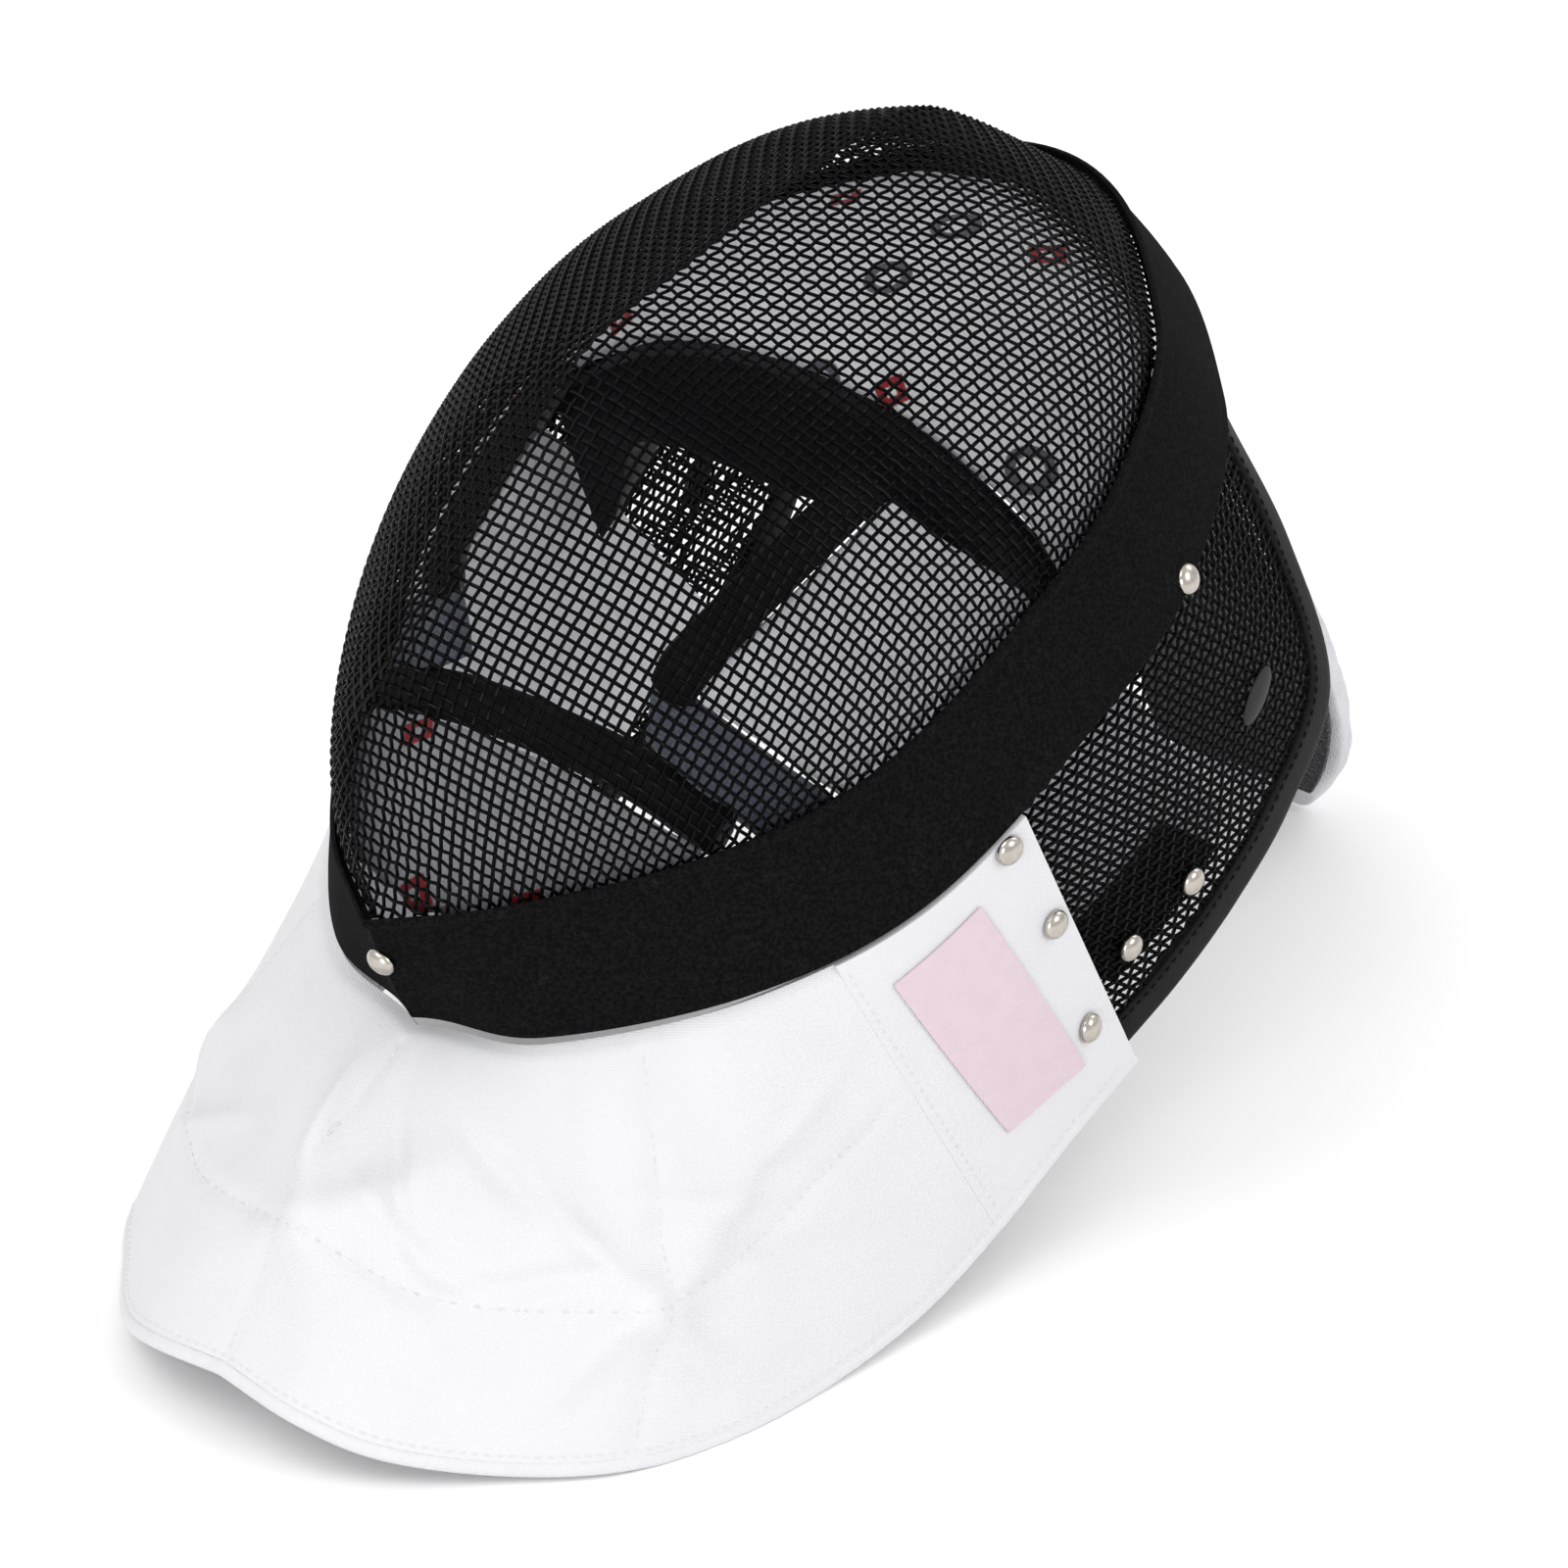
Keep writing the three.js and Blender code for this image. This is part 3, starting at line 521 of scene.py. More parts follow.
def motif_group() -> bpy.types.NodeTree:
    """Makes the group for a sparse print: lozenges and rings, one or none in each cell.

    Returns:
        A group with Vector in millimetres and Cell, and with Lozenge and Ring masks.
    """
    tree, given, results = group_shell("sparse_print", "Cell", "Lozenge Ring")
    packed = tree.add("CombineXYZ", X=given["Cell"], Y=given["Cell"], Z=given["Cell"]).outputs[0]
    scaled = tree.vector("DIVIDE", given["Vector"], packed).outputs[0]
    flat = tree.vector("MULTIPLY", scaled, (1, 1, 0)).outputs[0]
    cell = tree.vector("FLOOR", flat).outputs[0]
    inside = tree.vector("FRACTION", flat).outputs[0]
    chance = tree.add("TexWhiteNoise", {"noise_dimensions": "3D"}, Vector=cell)
    spot = tree.vector("MULTIPLY_ADD", chance.outputs[1], (0.4, 0.4, 0), (0.3, 0.3, 0)).outputs[0]
    away = tree.vector("SUBTRACT", inside, spot).outputs[0]
    split = tree.add("SeparateXYZ", Vector=away)
    reach = tree.math("ADD", *(tree.math("ABSOLUTE", split.outputs[k]) for k in range(2)))
    lozenge = tree.ramp(reach, 0.19, 0.16)
    gap = tree.ramp(reach, 0.045, 0.07)
    length = tree.vector("LENGTH", away).outputs["Value"]
    ring = tree.ramp(tree.math("ABSOLUTE", tree.math("SUBTRACT", length, 0.15)), 0.055, 0.035)
    first = tree.math("LESS_THAN", chance.outputs[0], 0.42)
    second = tree.math("GREATER_THAN", chance.outputs[0], 0.74)
    tree.link(tree.math("MULTIPLY", tree.math("MULTIPLY", lozenge, gap), first), results["Lozenge"])
    tree.link(tree.math("MULTIPLY", ring, second), results["Ring"])
    return tree.tree


def shared_group(name: str) -> bpy.types.NodeTree:
    """Returns a shared node group, made at its first use."""
    makers = {"weave": weave_group, "mottle": mottle_group, "nap": nap_group, "sparse_print": motif_group}
    return bpy.data.node_groups.get(name) or makers[name]()


@dataclass(frozen=True)
class Finish:
    """Surface finish with its record slot: base of all finishes."""

    slot: str
    colour: tuple[float, float, float]
    roughness: float

    def material(self) -> bpy.types.Material:
        """Makes the finish's material at its first use.

        Returns:
            The material.
        """
        ending = "_printed" if getattr(self, "printed", False) else ""
        name = f"{type(self).__name__.lower()}_{self.slot}{ending}"
        found = bpy.data.materials.get(name)
        if found:
            return found
        made = bpy.data.materials.new(name)
        made.use_nodes = True
        made.diffuse_color = self.tone(1)
        tree = NodeTree(made.node_tree)
        shader = made.node_tree.nodes["Principled BSDF"]
        self.dress(tree, tree.feed(shader, Base_Color=self.tone(1), Roughness=self.roughness))
        return made

    def dress(self, tree: NodeTree, shader: Node) -> None:
        """Adds the finish's own nodes to a material's tree and its Principled BSDF."""

    def place(self, tree: NodeTree, on_cloth: bool = False) -> Socket:
        """Adds coordinates in millimetres.

        Args:
            tree: The material's tree.
            on_cloth: Whether they follow the piece's own UV map.

        Returns:
            The vector socket.
        """
        source = tree.add("TexCoord").outputs["UV" if on_cloth else "Object"]
        scale = (1, 1, 1) if on_cloth else (1000, 1000, 1000)
        return tree.add("Mapping", Vector=source, Scale=scale).outputs[0]

    def bump(self, tree: NodeTree, shader: Node, height: Socket, distance: float) -> None:
        """Adds a bump from a height, with its distance in millimetres."""
        node = tree.add("Bump", Height=height, Distance=distance / 1000, Strength=1.0)
        tree.link(node.outputs[0], shader.inputs["Normal"])

    def tone(self, share: float) -> tuple[float, float, float, float]:
        """Returns the finish's colour times a share."""
        return (*(min(1.0, c * share) for c in self.colour), 1.0)


@dataclass(frozen=True)
class Enamel(Finish):
    """Baked black enamel on steel wire."""

    def dress(self, tree: NodeTree, shader: Node) -> None:
        """Adds faint runs in the enamel and a clear gloss.

        Args:
            tree: The material's tree.
            shader: Its Principled BSDF.
        """
        drops = tree.add("TexNoise", Vector=self.place(tree), Scale=0.8, Detail=2.0).outputs[0]
        self.bump(tree, shader, drops, 0.05)
        tree.feed(
            shader,
            Base_Color=tree.mix(tree.ramp(drops, 0.45, 0.8), self.tone(1), self.tone(1.9)),
            Roughness=tree.span(drops, self.roughness - 0.1, self.roughness + 0.14),
            Specular_IOR_Level=0.035,
            Coat_Weight=0.07,
            Coat_Roughness=0.12,
        )
        shader.inputs["Coat Roughness"].default_value = 0.12


@dataclass(frozen=True)
class Suede(Finish):
    """Napped black cloth with faint scuffs."""

    def dress(self, tree: NodeTree, shader: Node) -> None:
        """Adds nap, scuffs and a soft sheen.

        Args:
            tree: The material's tree.
            shader: Its Principled BSDF.
        """
        nap = tree.group("nap", Vector=self.place(tree))
        worn = tree.mix(tree.math("MULTIPLY", nap.outputs["Scuff"], 0.8), self.tone(1), self.tone(2.8))
        grain = tree.mix(tree.ramp(nap.outputs["Height"], 0.4, 0.62), self.tone(0.35), worn)
        self.bump(tree, shader, nap.outputs["Height"], 0.35)
        tree.feed(shader, Base_Color=grain, Sheen_Weight=0.008, Sheen_Roughness=0.5, Specular_IOR_Level=0.03)


@dataclass(frozen=True)
class Tape(Finish):
    """Smooth woven binding tape with a low gloss."""

    def dress(self, tree: NodeTree, shader: Node) -> None:
        """Adds fine ribs across the tape and cloudy wear.

        Args:
            tree: The material's tree.
            shader: Its Principled BSDF.
        """
        place = self.place(tree)
        weave = tree.group("weave", Vector=place, Pitch=0.8, Slub=1.2)
        cloud = tree.group("mottle", Vector=place, Size=9.0).outputs[0]
        rough = tree.span(weave.outputs["Tone"], self.roughness - 0.08, self.roughness + 0.12)
        self.bump(tree, shader, weave.outputs["Height"], 0.06)
        colour = tree.mix(cloud, self.tone(0.8), self.tone(1.35))
        tree.feed(shader, Base_Color=colour, Roughness=rough, Specular_IOR_Level=0.12)


@dataclass(frozen=True)
class Satin(Finish):
    """White satin weave: soft sheen, fine twill and cloudy tone."""

    def dress(self, tree: NodeTree, shader: Node) -> None:
        """Adds the weave on the cloth's own coordinates.

        Args:
            tree: The material's tree.
            shader: Its Principled BSDF.
        """
        place = self.place(tree, on_cloth=True)
        twill = tree.add("Mapping", Vector=place, Rotation=(0, 0, 0.6)).outputs[0]
        weave = tree.group("weave", Vector=twill, Pitch=0.9, Slub=1.6)
        cloud = tree.group("mottle", Vector=place, Size=24.0).outputs[0]
        shade = tree.mix(tree.math("MULTIPLY", cloud, 0.6), self.tone(1), self.tone(0.955))
        thread = tree.mix(tree.math("MULTIPLY", weave.outputs["Tone"], 0.35), shade, self.tone(1.04))
        rough = tree.span(weave.outputs["Tone"], self.roughness - 0.1, self.roughness + 0.1)
        self.bump(tree, shader, weave.outputs["Height"], 0.1)
        tree.feed(shader, Base_Color=thread, Roughness=rough, Sheen_Weight=0.25, Sheen_Roughness=0.35)


@dataclass(frozen=True)
class Patch(Finish):
    """Bare woven patch of one pale colour."""

    def dress(self, tree: NodeTree, shader: Node) -> None:
        """Adds a mottled dye and a plain weave.

        Args:
            tree: The material's tree.
            shader: Its Principled BSDF.
        """
        place = self.place(tree, on_cloth=True)
        weave = tree.group("weave", Vector=place, Pitch=0.7, Slub=1.4)
        cloud = tree.group("mottle", Vector=place, Size=7.0).outputs[0]
        self.bump(tree, shader, weave.outputs["Height"], 0.1)
        tree.feed(shader, Base_Color=tree.mix(cloud, self.tone(0.98), self.tone(1.02)), Sheen_Weight=0.2)


@dataclass(frozen=True)
class Knit(Finish):
    """White padded knit, plain or with a sparse print."""

    printed: bool = False

    def dress(self, tree: NodeTree, shader: Node) -> None:
        """Adds the knit and, where it is printed, scattered lozenges and rings.

        Args:
            tree: The material's tree.
            shader: Its Principled BSDF.
        """
        place = self.place(tree)
        knit = tree.group("weave", Vector=place, Pitch=1.1, Slub=1.8)
        cloud = tree.group("mottle", Vector=place, Size=16.0).outputs[0]
        colour = tree.mix(cloud, self.tone(0.96), self.tone(1.02))
        if self.printed:
            turn = (FORM.lean - math.pi / 2, 0, 0)
            level = tree.add("Mapping", Vector=place, Rotation=turn, Location=(13, 5, 0)).outputs[0]
            motif = tree.group("sparse_print", Vector=level, Cell=34.0)
            colour = tree.mix(motif.outputs["Ring"], colour, (0.1, 0.1, 0.125, 1))
            colour = tree.mix(motif.outputs["Lozenge"], colour, (0.32, 0.012, 0.018, 1))
        self.bump(tree, shader, knit.outputs["Height"], 0.2)
        tree.feed(shader, Base_Color=colour, Sheen_Weight=0.15)


@dataclass(frozen=True)
class WornKnit(Knit):
    """Padded knit of a darker grey tone; on the chin pad this grey is painted shade."""


@dataclass(frozen=True)
class Towelling(Finish):
    """Dark looped cloth."""

    def dress(self, tree: NodeTree, shader: Node) -> None:
        """Adds loops and a soft sheen.

        Args:
            tree: The material's tree.
            shader: Its Principled BSDF.
        """
        place = self.place(tree)
        loops = tree.add("TexVoronoi", Vector=place, Scale=0.9).outputs["Distance"]
        cloud = tree.group("mottle", Vector=place, Size=8.0).outputs[0]
        shade = tree.mix(cloud, self.tone(0.75), self.tone(1.3))
        self.bump(tree, shader, loops, -0.5)
        colour = tree.mix(tree.ramp(loops, 0.2, 0.9), self.tone(1.4), shade)
        tree.feed(shader, Base_Color=colour, Sheen_Weight=0.25)


@dataclass(frozen=True)
class PaintedShadeTowelling(Towelling):
    """Dark looped cloth, made darker still: the extra darkness is painted shade."""


@dataclass(frozen=True)
class Nickel(Finish):
    """Polished nickel plate, a little worn."""

    def dress(self, tree: NodeTree, shader: Node) -> None:
        """Adds fine scratches and cloudy tarnish.

        Args:
            tree: The material's tree.
            shader: Its Principled BSDF.
        """
        cloud = tree.group("mottle", Vector=self.place(tree), Size=2.5).outputs[0]
        rough = tree.span(cloud, self.roughness, self.roughness + 0.12)
        colour = tree.mix(cloud, self.tone(0.9), self.tone(1.06))
        tree.feed(shader, Base_Color=colour, Roughness=rough, Metallic=1.0)


@dataclass(frozen=True)
class Moulded(Finish):
    """Moulded plastic with a fine grain."""

    def dress(self, tree: NodeTree, shader: Node) -> None:
        """Adds the grain of the mould.

        Args:
            tree: The material's tree.
            shader: Its Principled BSDF.
        """
        grain = tree.add("TexNoise", Vector=self.place(tree), Scale=3.0, Detail=3.0).outputs[0]
        self.bump(tree, shader, grain, 0.08)
        tree.feed(shader, Base_Color=tree.mix(grain, self.tone(0.8), self.tone(1.3)))


ENAMEL = Enamel("mesh_black", (0.0014, 0.0015, 0.0018), 0.36)
SUEDE = Suede("suede_black", (0.0085, 0.0085, 0.009), 0.95)
TAPE = Tape("binding_black", (0.0045, 0.0045, 0.005), 0.5)
SATIN = Satin("satin_white", (0.655, 0.655, 0.68), 0.5)
PATCH = Patch("label_pink", (0.63, 0.5, 0.57), 0.6)
KNIT = Knit("lining_white", (0.88, 0.89, 0.92), 0.85)
PRINTED = Knit("lining_white", (0.88, 0.89, 0.92), 0.85, True)
# printed knit darkened to grey as painted shade, for the chin pad
PAINTED_SHADE_PRINTED = WornKnit("lining_white", (0.42, 0.43, 0.46), 0.85, True)
# plain knit of a darker grey tone, for the tongue
GREY_KNIT = WornKnit("lining_white", (0.62, 0.62, 0.65), 0.85)
NAVY = Towelling("lining_navy", (0.085, 0.095, 0.125), 0.9)
# navy towelling darkened to near black as painted shade, for the tongue lining
PAINTED_SHADE_NAVY = PaintedShadeTowelling("lining_navy", (0.011, 0.012, 0.015), 0.9)
NICKEL = Nickel("nickel", (0.5, 0.465, 0.42), 0.16)
CAP = Moulded("cap_black", (0.004, 0.004, 0.0045), 0.6)


def own_piece(
    name: str, vertices: Array, faces: list, finish: Finish, uv: Array | None = None
) -> Piece:
    """Makes a closed piece from vertices in the mask's frame.

    Args:
        name: Name of the piece.
        vertices: Millimetres in the mask's frame.
        faces: Corner indices of each face.
        finish: The piece's finish.
        uv: Cloth coordinates of each vertex in millimetres.

    Returns:
        The object, dressed and with its faces turned outwards.
    """
    mesh = bpy.data.meshes.new(name)
    mesh.from_pydata(FORM.placed(vertices.reshape(-1, 3)).tolist(), [], [list(map(int, f)) for f in faces])
    mesh.validate()
    if uv is not None:
        layer = mesh.uv_layers.new(name="cloth")
        corners = np.empty(len(mesh.loops), np.int64)
        mesh.loops.foreach_get("vertex_index", corners)
        layer.data.foreach_set("uv", uv.reshape(-1, 2)[corners].astype(np.float32).ravel())
    piece = bpy.data.objects.new(name, mesh)
    bpy.context.collection.objects.link(piece)
    dressed(piece, finish)
    turn_outwards(piece)
    return piece


def choose(piece: Piece) -> None:
    """Makes a piece the active object and the only one selected.

    Args:
        piece: The object.
    """
    bpy.ops.object.select_all(action="DESELECT")
    piece.select_set(True)
    bpy.context.view_layer.objects.active = piece


def places_of(piece: Piece) -> Array:
    """Returns the places of a piece's vertices in metres."""
    return np.array([vertex.co[:] for vertex in piece.data.vertices])


def set_places(piece: Piece, places: Array) -> None:
    """Moves a piece's vertices to new places in metres."""
    piece.data.vertices.foreach_set("co", places.astype(np.float32).ravel())
    piece.data.update()


def dressed(piece: Piece, finish: Finish, angle: float = 40) -> Piece:
    """Gives a piece its finish, smooth shading, slot and body.

    Args:
        piece: The object.
        finish: Its finish.
        angle: Edges sharper than this many degrees stay sharp.

    Returns:
        The same object.
    """
    piece.data.materials.clear()
    piece.data.materials.append(finish.material())
    choose(piece)
    bpy.ops.object.shade_smooth_by_angle(angle=math.radians(angle))
    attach(piece, "root")
    log.info("%s: %d faces", piece.name, len(piece.data.polygons))
    return piece


def turn_outwards(piece: Piece) -> None:
    """Makes all faces of a closed piece point outwards.

    Args:
        piece: The object.
    """
    work = bmesh.new()
    work.from_mesh(piece.data)
    bmesh.ops.recalc_face_normals(work, faces=work.faces)
    if work.calc_volume(signed=True) < 0:
        bmesh.ops.reverse_faces(work, faces=work.faces)
    work.to_mesh(piece.data)
    work.free()


def grid_normals(points: Array) -> Array:
    """Finds the normals of a grid of points, away from the head.

    Args:
        points: Grid of points.

    Returns:
        Unit normals of the same shape.
    """
    normals = unit(np.cross(np.gradient(points, axis=0), np.gradient(points, axis=1)))
    mid = (points.shape[0] // 2, points.shape[1] // 2)
    return normals if np.dot(normals[mid], points[mid] - HEAD) > 0 else -normals


def sheet_piece(
    name: str, points: Array, wall: float, lift: float, finish: Finish, swell: Array | None = None
) -> Piece:
    """Makes a closed sheet of one wall from a grid of points.

    Args:
        name: Name of the piece.
        points: Grid of points in the mask's frame.
        wall: Thickness.
        lift: Height of the outer face above the points, away from the head.
        finish: The sheet's finish.
        swell: Extra height of the outer face at each point.

    Returns:
        The object.
    """
    columns, rows = points.shape[:2]
    normals = grid_normals(points)
    extra = np.zeros((columns, rows)) if swell is None else swell
    outer = points + normals * (lift + extra)[..., None]
    inner = points + normals * (lift - wall + 0.5 * extra)[..., None]
    u, v = run_along(points[:, rows // 2]), run_along(points[columns // 2])
    cloth = np.stack(np.broadcast_arrays(u[:, None], v[None, :]), -1)
    at = np.arange(columns * rows).reshape(columns, rows)
    a, b, c, d = at[:-1, :-1], at[1:, :-1], at[1:, 1:], at[:-1, 1:]
    faces = np.stack([a, b, c, d], -1).reshape(-1, 4).tolist()
    faces += (np.stack([a, d, c, b], -1).reshape(-1, 4) + columns * rows).tolist()
    rim = np.concatenate([at[:-1, 0], at[-1, :-1], at[:0:-1, -1], at[0, :0:-1]])
    after = np.roll(rim, -1)
    faces += np.stack([after, rim, rim + columns * rows, after + columns * rows], -1).tolist()
    return own_piece(name, np.stack([outer, inner]), faces, finish, np.stack([cloth, cloth]))


def swept_piece(
    name: str, frames: tuple[Array, Array, Array], section: Array, finish: Finish, closed: bool = False
) -> Piece:
    """Makes a bar that carries its section along frames.

    Args:
        name: Name of the piece.
        frames: Points along the bar, and the section's two axes at each point.
        section: Outline of the section, one for all frames or one for each.
        finish: The bar's finish.
        closed: Whether the bar is a loop.

    Returns:
        The object.
    """
    origins, sideways, upwards = frames
    section = np.broadcast_to(section, (len(origins), *np.shape(section)[-2:]))
    points = origins[:, None] + sideways[:, None] * section[..., :1] + upwards[:, None] * section[..., 1:]
    count = section.shape[1]
    at = np.arange(len(origins) * count).reshape(len(origins), count)
    following = np.roll(at, -1, 0) if closed else at[1:]
    current = at if closed else at[:-1]
    corners = [current, np.roll(current, -1, 1), np.roll(following, -1, 1), following]
    faces = np.stack(corners, -1).reshape(-1, 4).tolist()
    if not closed:
        faces += [at[0][::-1].tolist(), at[-1].tolist()]
    cloth = np.stack(np.broadcast_arrays(run_along(origins)[:, None], run_along(section[0])[None, :]), -1)
    return own_piece(name, points, faces, finish, cloth)


def rounded(width: float, height: float, count: int = 20, power: float = 3.0) -> Array:
    """Makes a rounded flat section.

    Args:
        width: Width of the section.
        height: Height of the section.
        count: Number of points.
        power: 2 gives an oval, more a flatter outline.

    Returns:
        Points of the outline.
    """
    angle = (np.arange(count) + 0.5) * 2 * math.pi / count
    x = np.sign(np.cos(angle)) * np.abs(np.cos(angle)) ** (2 / power) * width / 2
    y = np.sign(np.sin(angle)) * np.abs(np.sin(angle)) ** (2 / power) * height / 2
    return np.stack([x, y], -1)


def edge_frames(edge: Array, inner: Array, shift: float) -> tuple[Array, Array, Array]:
    """Makes frames along an edge: sideways runs on from the surface, upwards stands on its outer face.

    Args:
        edge: Points along the edge.
        inner: Points a little way back on the surface.
        shift: How far the frames are moved sideways.

    Returns:
        Origins, sideways and upwards.
    """
    sideways = unit(edge - inner)
    upwards = unit(np.cross(np.gradient(edge, axis=0), sideways))
    middle = len(edge) // 2
    if np.dot(upwards[middle], edge[middle] - HEAD) < 0:
        upwards = -upwards
    return edge + sideways * shift, sideways, upwards


def twin(piece: Piece, name: str) -> Piece:
    """Copies a piece with a mesh of its own.

    Args:
        piece: The object.
        name: Name of the copy.

    Returns:
        The copy.
    """
    copy = piece.copy()
    copy.data = piece.data.copy()
    copy.name = name
    bpy.context.collection.objects.link(copy)
    return copy


def mirror_copy(piece: Piece, name: str) -> Piece:
    """Makes a piece's mirror image across the mask's centre plane.

    Args:
        piece: Piece on the wearer's left.
        name: Name of the copy.

    Returns:
        The copy, dressed like the piece.
    """
    copy = twin(piece, name)
    copy.data.transform(Matrix.Diagonal((-1, 1, 1, 1)))
    copy.data.flip_normals()
    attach(copy, "root")
    return copy


STITCH, STITCH_GAP = 2.2, 1.1
# along one stitch: share of its length, radius and height above the cloth
STITCH_SHAPE = ((0.0, 0.12, -0.2), (0.15, 0.26, 0.1), (0.5, 0.3, 0.2), (0.85, 0.26, 0.1), (1.0, 0.12, -0.2))


def stitched(name: str, points: Array, normals: Array, finish: Finish, thick: float = 1.0) -> Piece:
    """Makes a row of thread stitches that lies half sunk along a line.

    Args:
        name: Name of the piece.
        points: Points along the line.
        normals: Outward normals at the points.
        finish: The thread's finish.
        thick: Thickness of the thread, as a share of the usual one.

    Returns:
        The object.
    """
    run = run_along(points)
    shares, sizes, lifts = np.array(STITCH_SHAPE).T
    sizes, lifts = sizes * thick, lifts * thick
    sides = count = 5
    vertices, faces = [], []
    for start in np.arange(STITCH_GAP, run[-1] - STITCH, STITCH + STITCH_GAP):
        where = start + shares * STITCH
        centre = np.stack([np.interp(where, run, points[:, k]) for k in range(3)], -1)
        normal = unit(np.stack([np.interp(where, run, normals[:, k]) for k in range(3)], -1))
        aside = np.cross(unit(np.gradient(centre, axis=0)), normal)
        base = len(vertices) * count
        for angle in np.arange(sides) * 2 * math.pi / sides:
            up, out = lifts + sizes * math.sin(angle), sizes * math.cos(angle)
            vertices.append(centre + normal * up[:, None] + aside * out[:, None])
        for k in range(sides):
            for m in range(count - 1):
                a, b = base + k * count + m, base + ((k + 1) % sides) * count + m
                faces.append([a, a + 1, b + 1, b])
        faces.append([base + k * count for k in range(sides)])
        faces.append([base + k * count + count - 1 for k in range(sides - 1, -1, -1)])
    return own_piece(name, np.array(vertices), faces, finish)


@dataclass
class WovenNet:
    """Two families of wires laid over a surface so that every cell keeps its pitch."""

    surface: Surface
    pitch: float = 3.35
    samples: int = 900
    rounds: int = 6
    # Newton's method: largest step in surface shares, and largest miss in millimetres
    stride: float = 0.03
    miss: float = 0.3

    def trail(self, first: Array, last: Array) -> Array:
        """Steps along a line of the surface at the pitch.

        Args:
            first: Surface shares where the line starts.
            last: Surface shares where it ends.

        Returns:
            Surface shares of each step.
        """
        share = np.linspace(0, 1, self.samples)[:, None]
        places = lerp(np.array(first, float), np.array(last, float), share)
        run = run_along(self.surface(places[:, 0], places[:, 1]))
        steps = np.arange(0, run[-1], self.pitch)
        return np.stack([np.interp(steps, run, places[:, k]) for k in range(2)], -1)

    def fill(self, column: Array, row: Array) -> Array:
        """Lays the crossings of one quarter from its two border wires.

        Args:
            column: Surface shares along the first border wire.
            row: Surface shares along the second one, from the same corner.

        Returns:
            Surface shares of each crossing, not a number outside the surface.
        """
        grid = np.full((len(column), len(row), 2), np.nan)
        grid[:, 0], grid[0, :] = column, row
        for total in range(2, len(column) + len(row) - 1):
            i = np.arange(max(1, total - len(row) + 1), min(total, len(column)))
            j = total - i
            a, b, c = grid[i - 1, j], grid[i, j - 1], grid[i - 1, j - 1]
            known = ~(np.isnan(a[:, 0]) | np.isnan(b[:, 0]))
            if known.any():
                grid[i[known], j[known]] = self._meet(a[known], b[known], (a + b - c)[known])
        return grid

    def _meet(self, a: Array, b: Array, guess: Array) -> Array:
        """Finds surface points one pitch from each of two points by Newton's method.

        Args:
            a: Surface shares of the first points.
            b: Surface shares of the second points.
            guess: Where the search starts.

        Returns:
            Surface shares, not a number where none is found.
        """
        ends = [self.surface(p[:, 0], p[:, 1]) for p in (a, b)]
        place = guess.copy()
        step = 1e-4
        for _ in range(self.rounds):
            here = self.surface(place[:, 0], place[:, 1])
            error = np.stack([np.sum((here - end) ** 2, -1) - self.pitch**2 for end in ends], -1)
            jacobian = np.empty((len(place), 2, 2))
            for k in range(2):
                beside = place.copy()
                beside[:, k] += step
                slope = (self.surface(beside[:, 0], beside[:, 1]) - here) / step
                for m, end in enumerate(ends):
                    jacobian[:, m, k] = 2 * np.sum((here - end) * slope, -1)
            jacobian[np.abs(np.linalg.det(jacobian)) < 1e-3] = np.eye(2) * 1e3
            move = np.linalg.solve(jacobian, error[..., None])[..., 0]
            place = place - np.clip(move, -self.stride, self.stride)
        here = self.surface(place[:, 0], place[:, 1])
        miss = np.max([np.abs(np.linalg.norm(here - end, axis=-1) - self.pitch) for end in ends], 0)
        place[(miss > self.miss) | (place < 0).any(-1) | (place > 1).any(-1)] = np.nan
        return place


@dataclass
class WireCloth:
    """Wires of one woven net as a mesh: every wire passes over and under the ones it crosses."""

    name: str
    points: Array
    normals: Array
    radius: float = 0.54
    sides: int = 6
    # how far each wire swings, as a share of its radius
    swing: float = 1.04

    def build(self, way: Way, lift: float) -> Piece:
        """Makes the wires that run one way.

        Args:
            way: Which family of wires.
            lift: Height of the net's middle above its surface.

        Returns:
            The object.
        """
        points = self.points if way is Way.ACROSS else self.points.transpose(1, 0, 2)
        normals = self.normals if way is Way.ACROSS else self.normals.transpose(1, 0, 2)
        sign = 1 if way is Way.ACROSS else -1
        rings, faces, base = [], [], 0
        angles = np.arange(self.sides) * 2 * math.pi / self.sides
        for line in range(points.shape[0]):
            there = ~np.isnan(points[line, :, 0])
            edges = np.flatnonzero(np.diff(np.concatenate([[0], there.astype(int), [0]])))
            for first, last in zip(edges[::2], edges[1::2]):
                if last - first < 3:
                    continue
                centre, normal = points[line, first:last], normals[line, first:last]
                wave = sign * (-1.0) ** (line + np.arange(first, last)) * self.radius * self.swing
                centre = centre + normal * (wave + lift)[:, None]
                ahead = unit(np.gradient(centre, axis=0))
                aside = unit(np.cross(ahead, normal))
                upwards = np.cross(aside, ahead)
                ring = (
                    centre[:, None]
                    + aside[:, None] * (self.radius * np.cos(angles))[None, :, None]
                    + upwards[:, None] * (self.radius * np.sin(angles))[None, :, None]
                )
                count = last - first
                at = base + np.arange(count * self.sides).reshape(count, self.sides)
                quads = np.stack([at[:-1], at[1:], np.roll(at[1:], -1, 1), np.roll(at[:-1], -1, 1)], -1)
                faces += quads.reshape(-1, 4).tolist()
                faces += [at[0].tolist(), at[-1][::-1].tolist()]
                rings.append(ring.reshape(-1, 3))
                base += count * self.sides
        return own_piece(f"{self.name}_{way.name.lower()}", np.concatenate(rings), faces, ENAMEL)


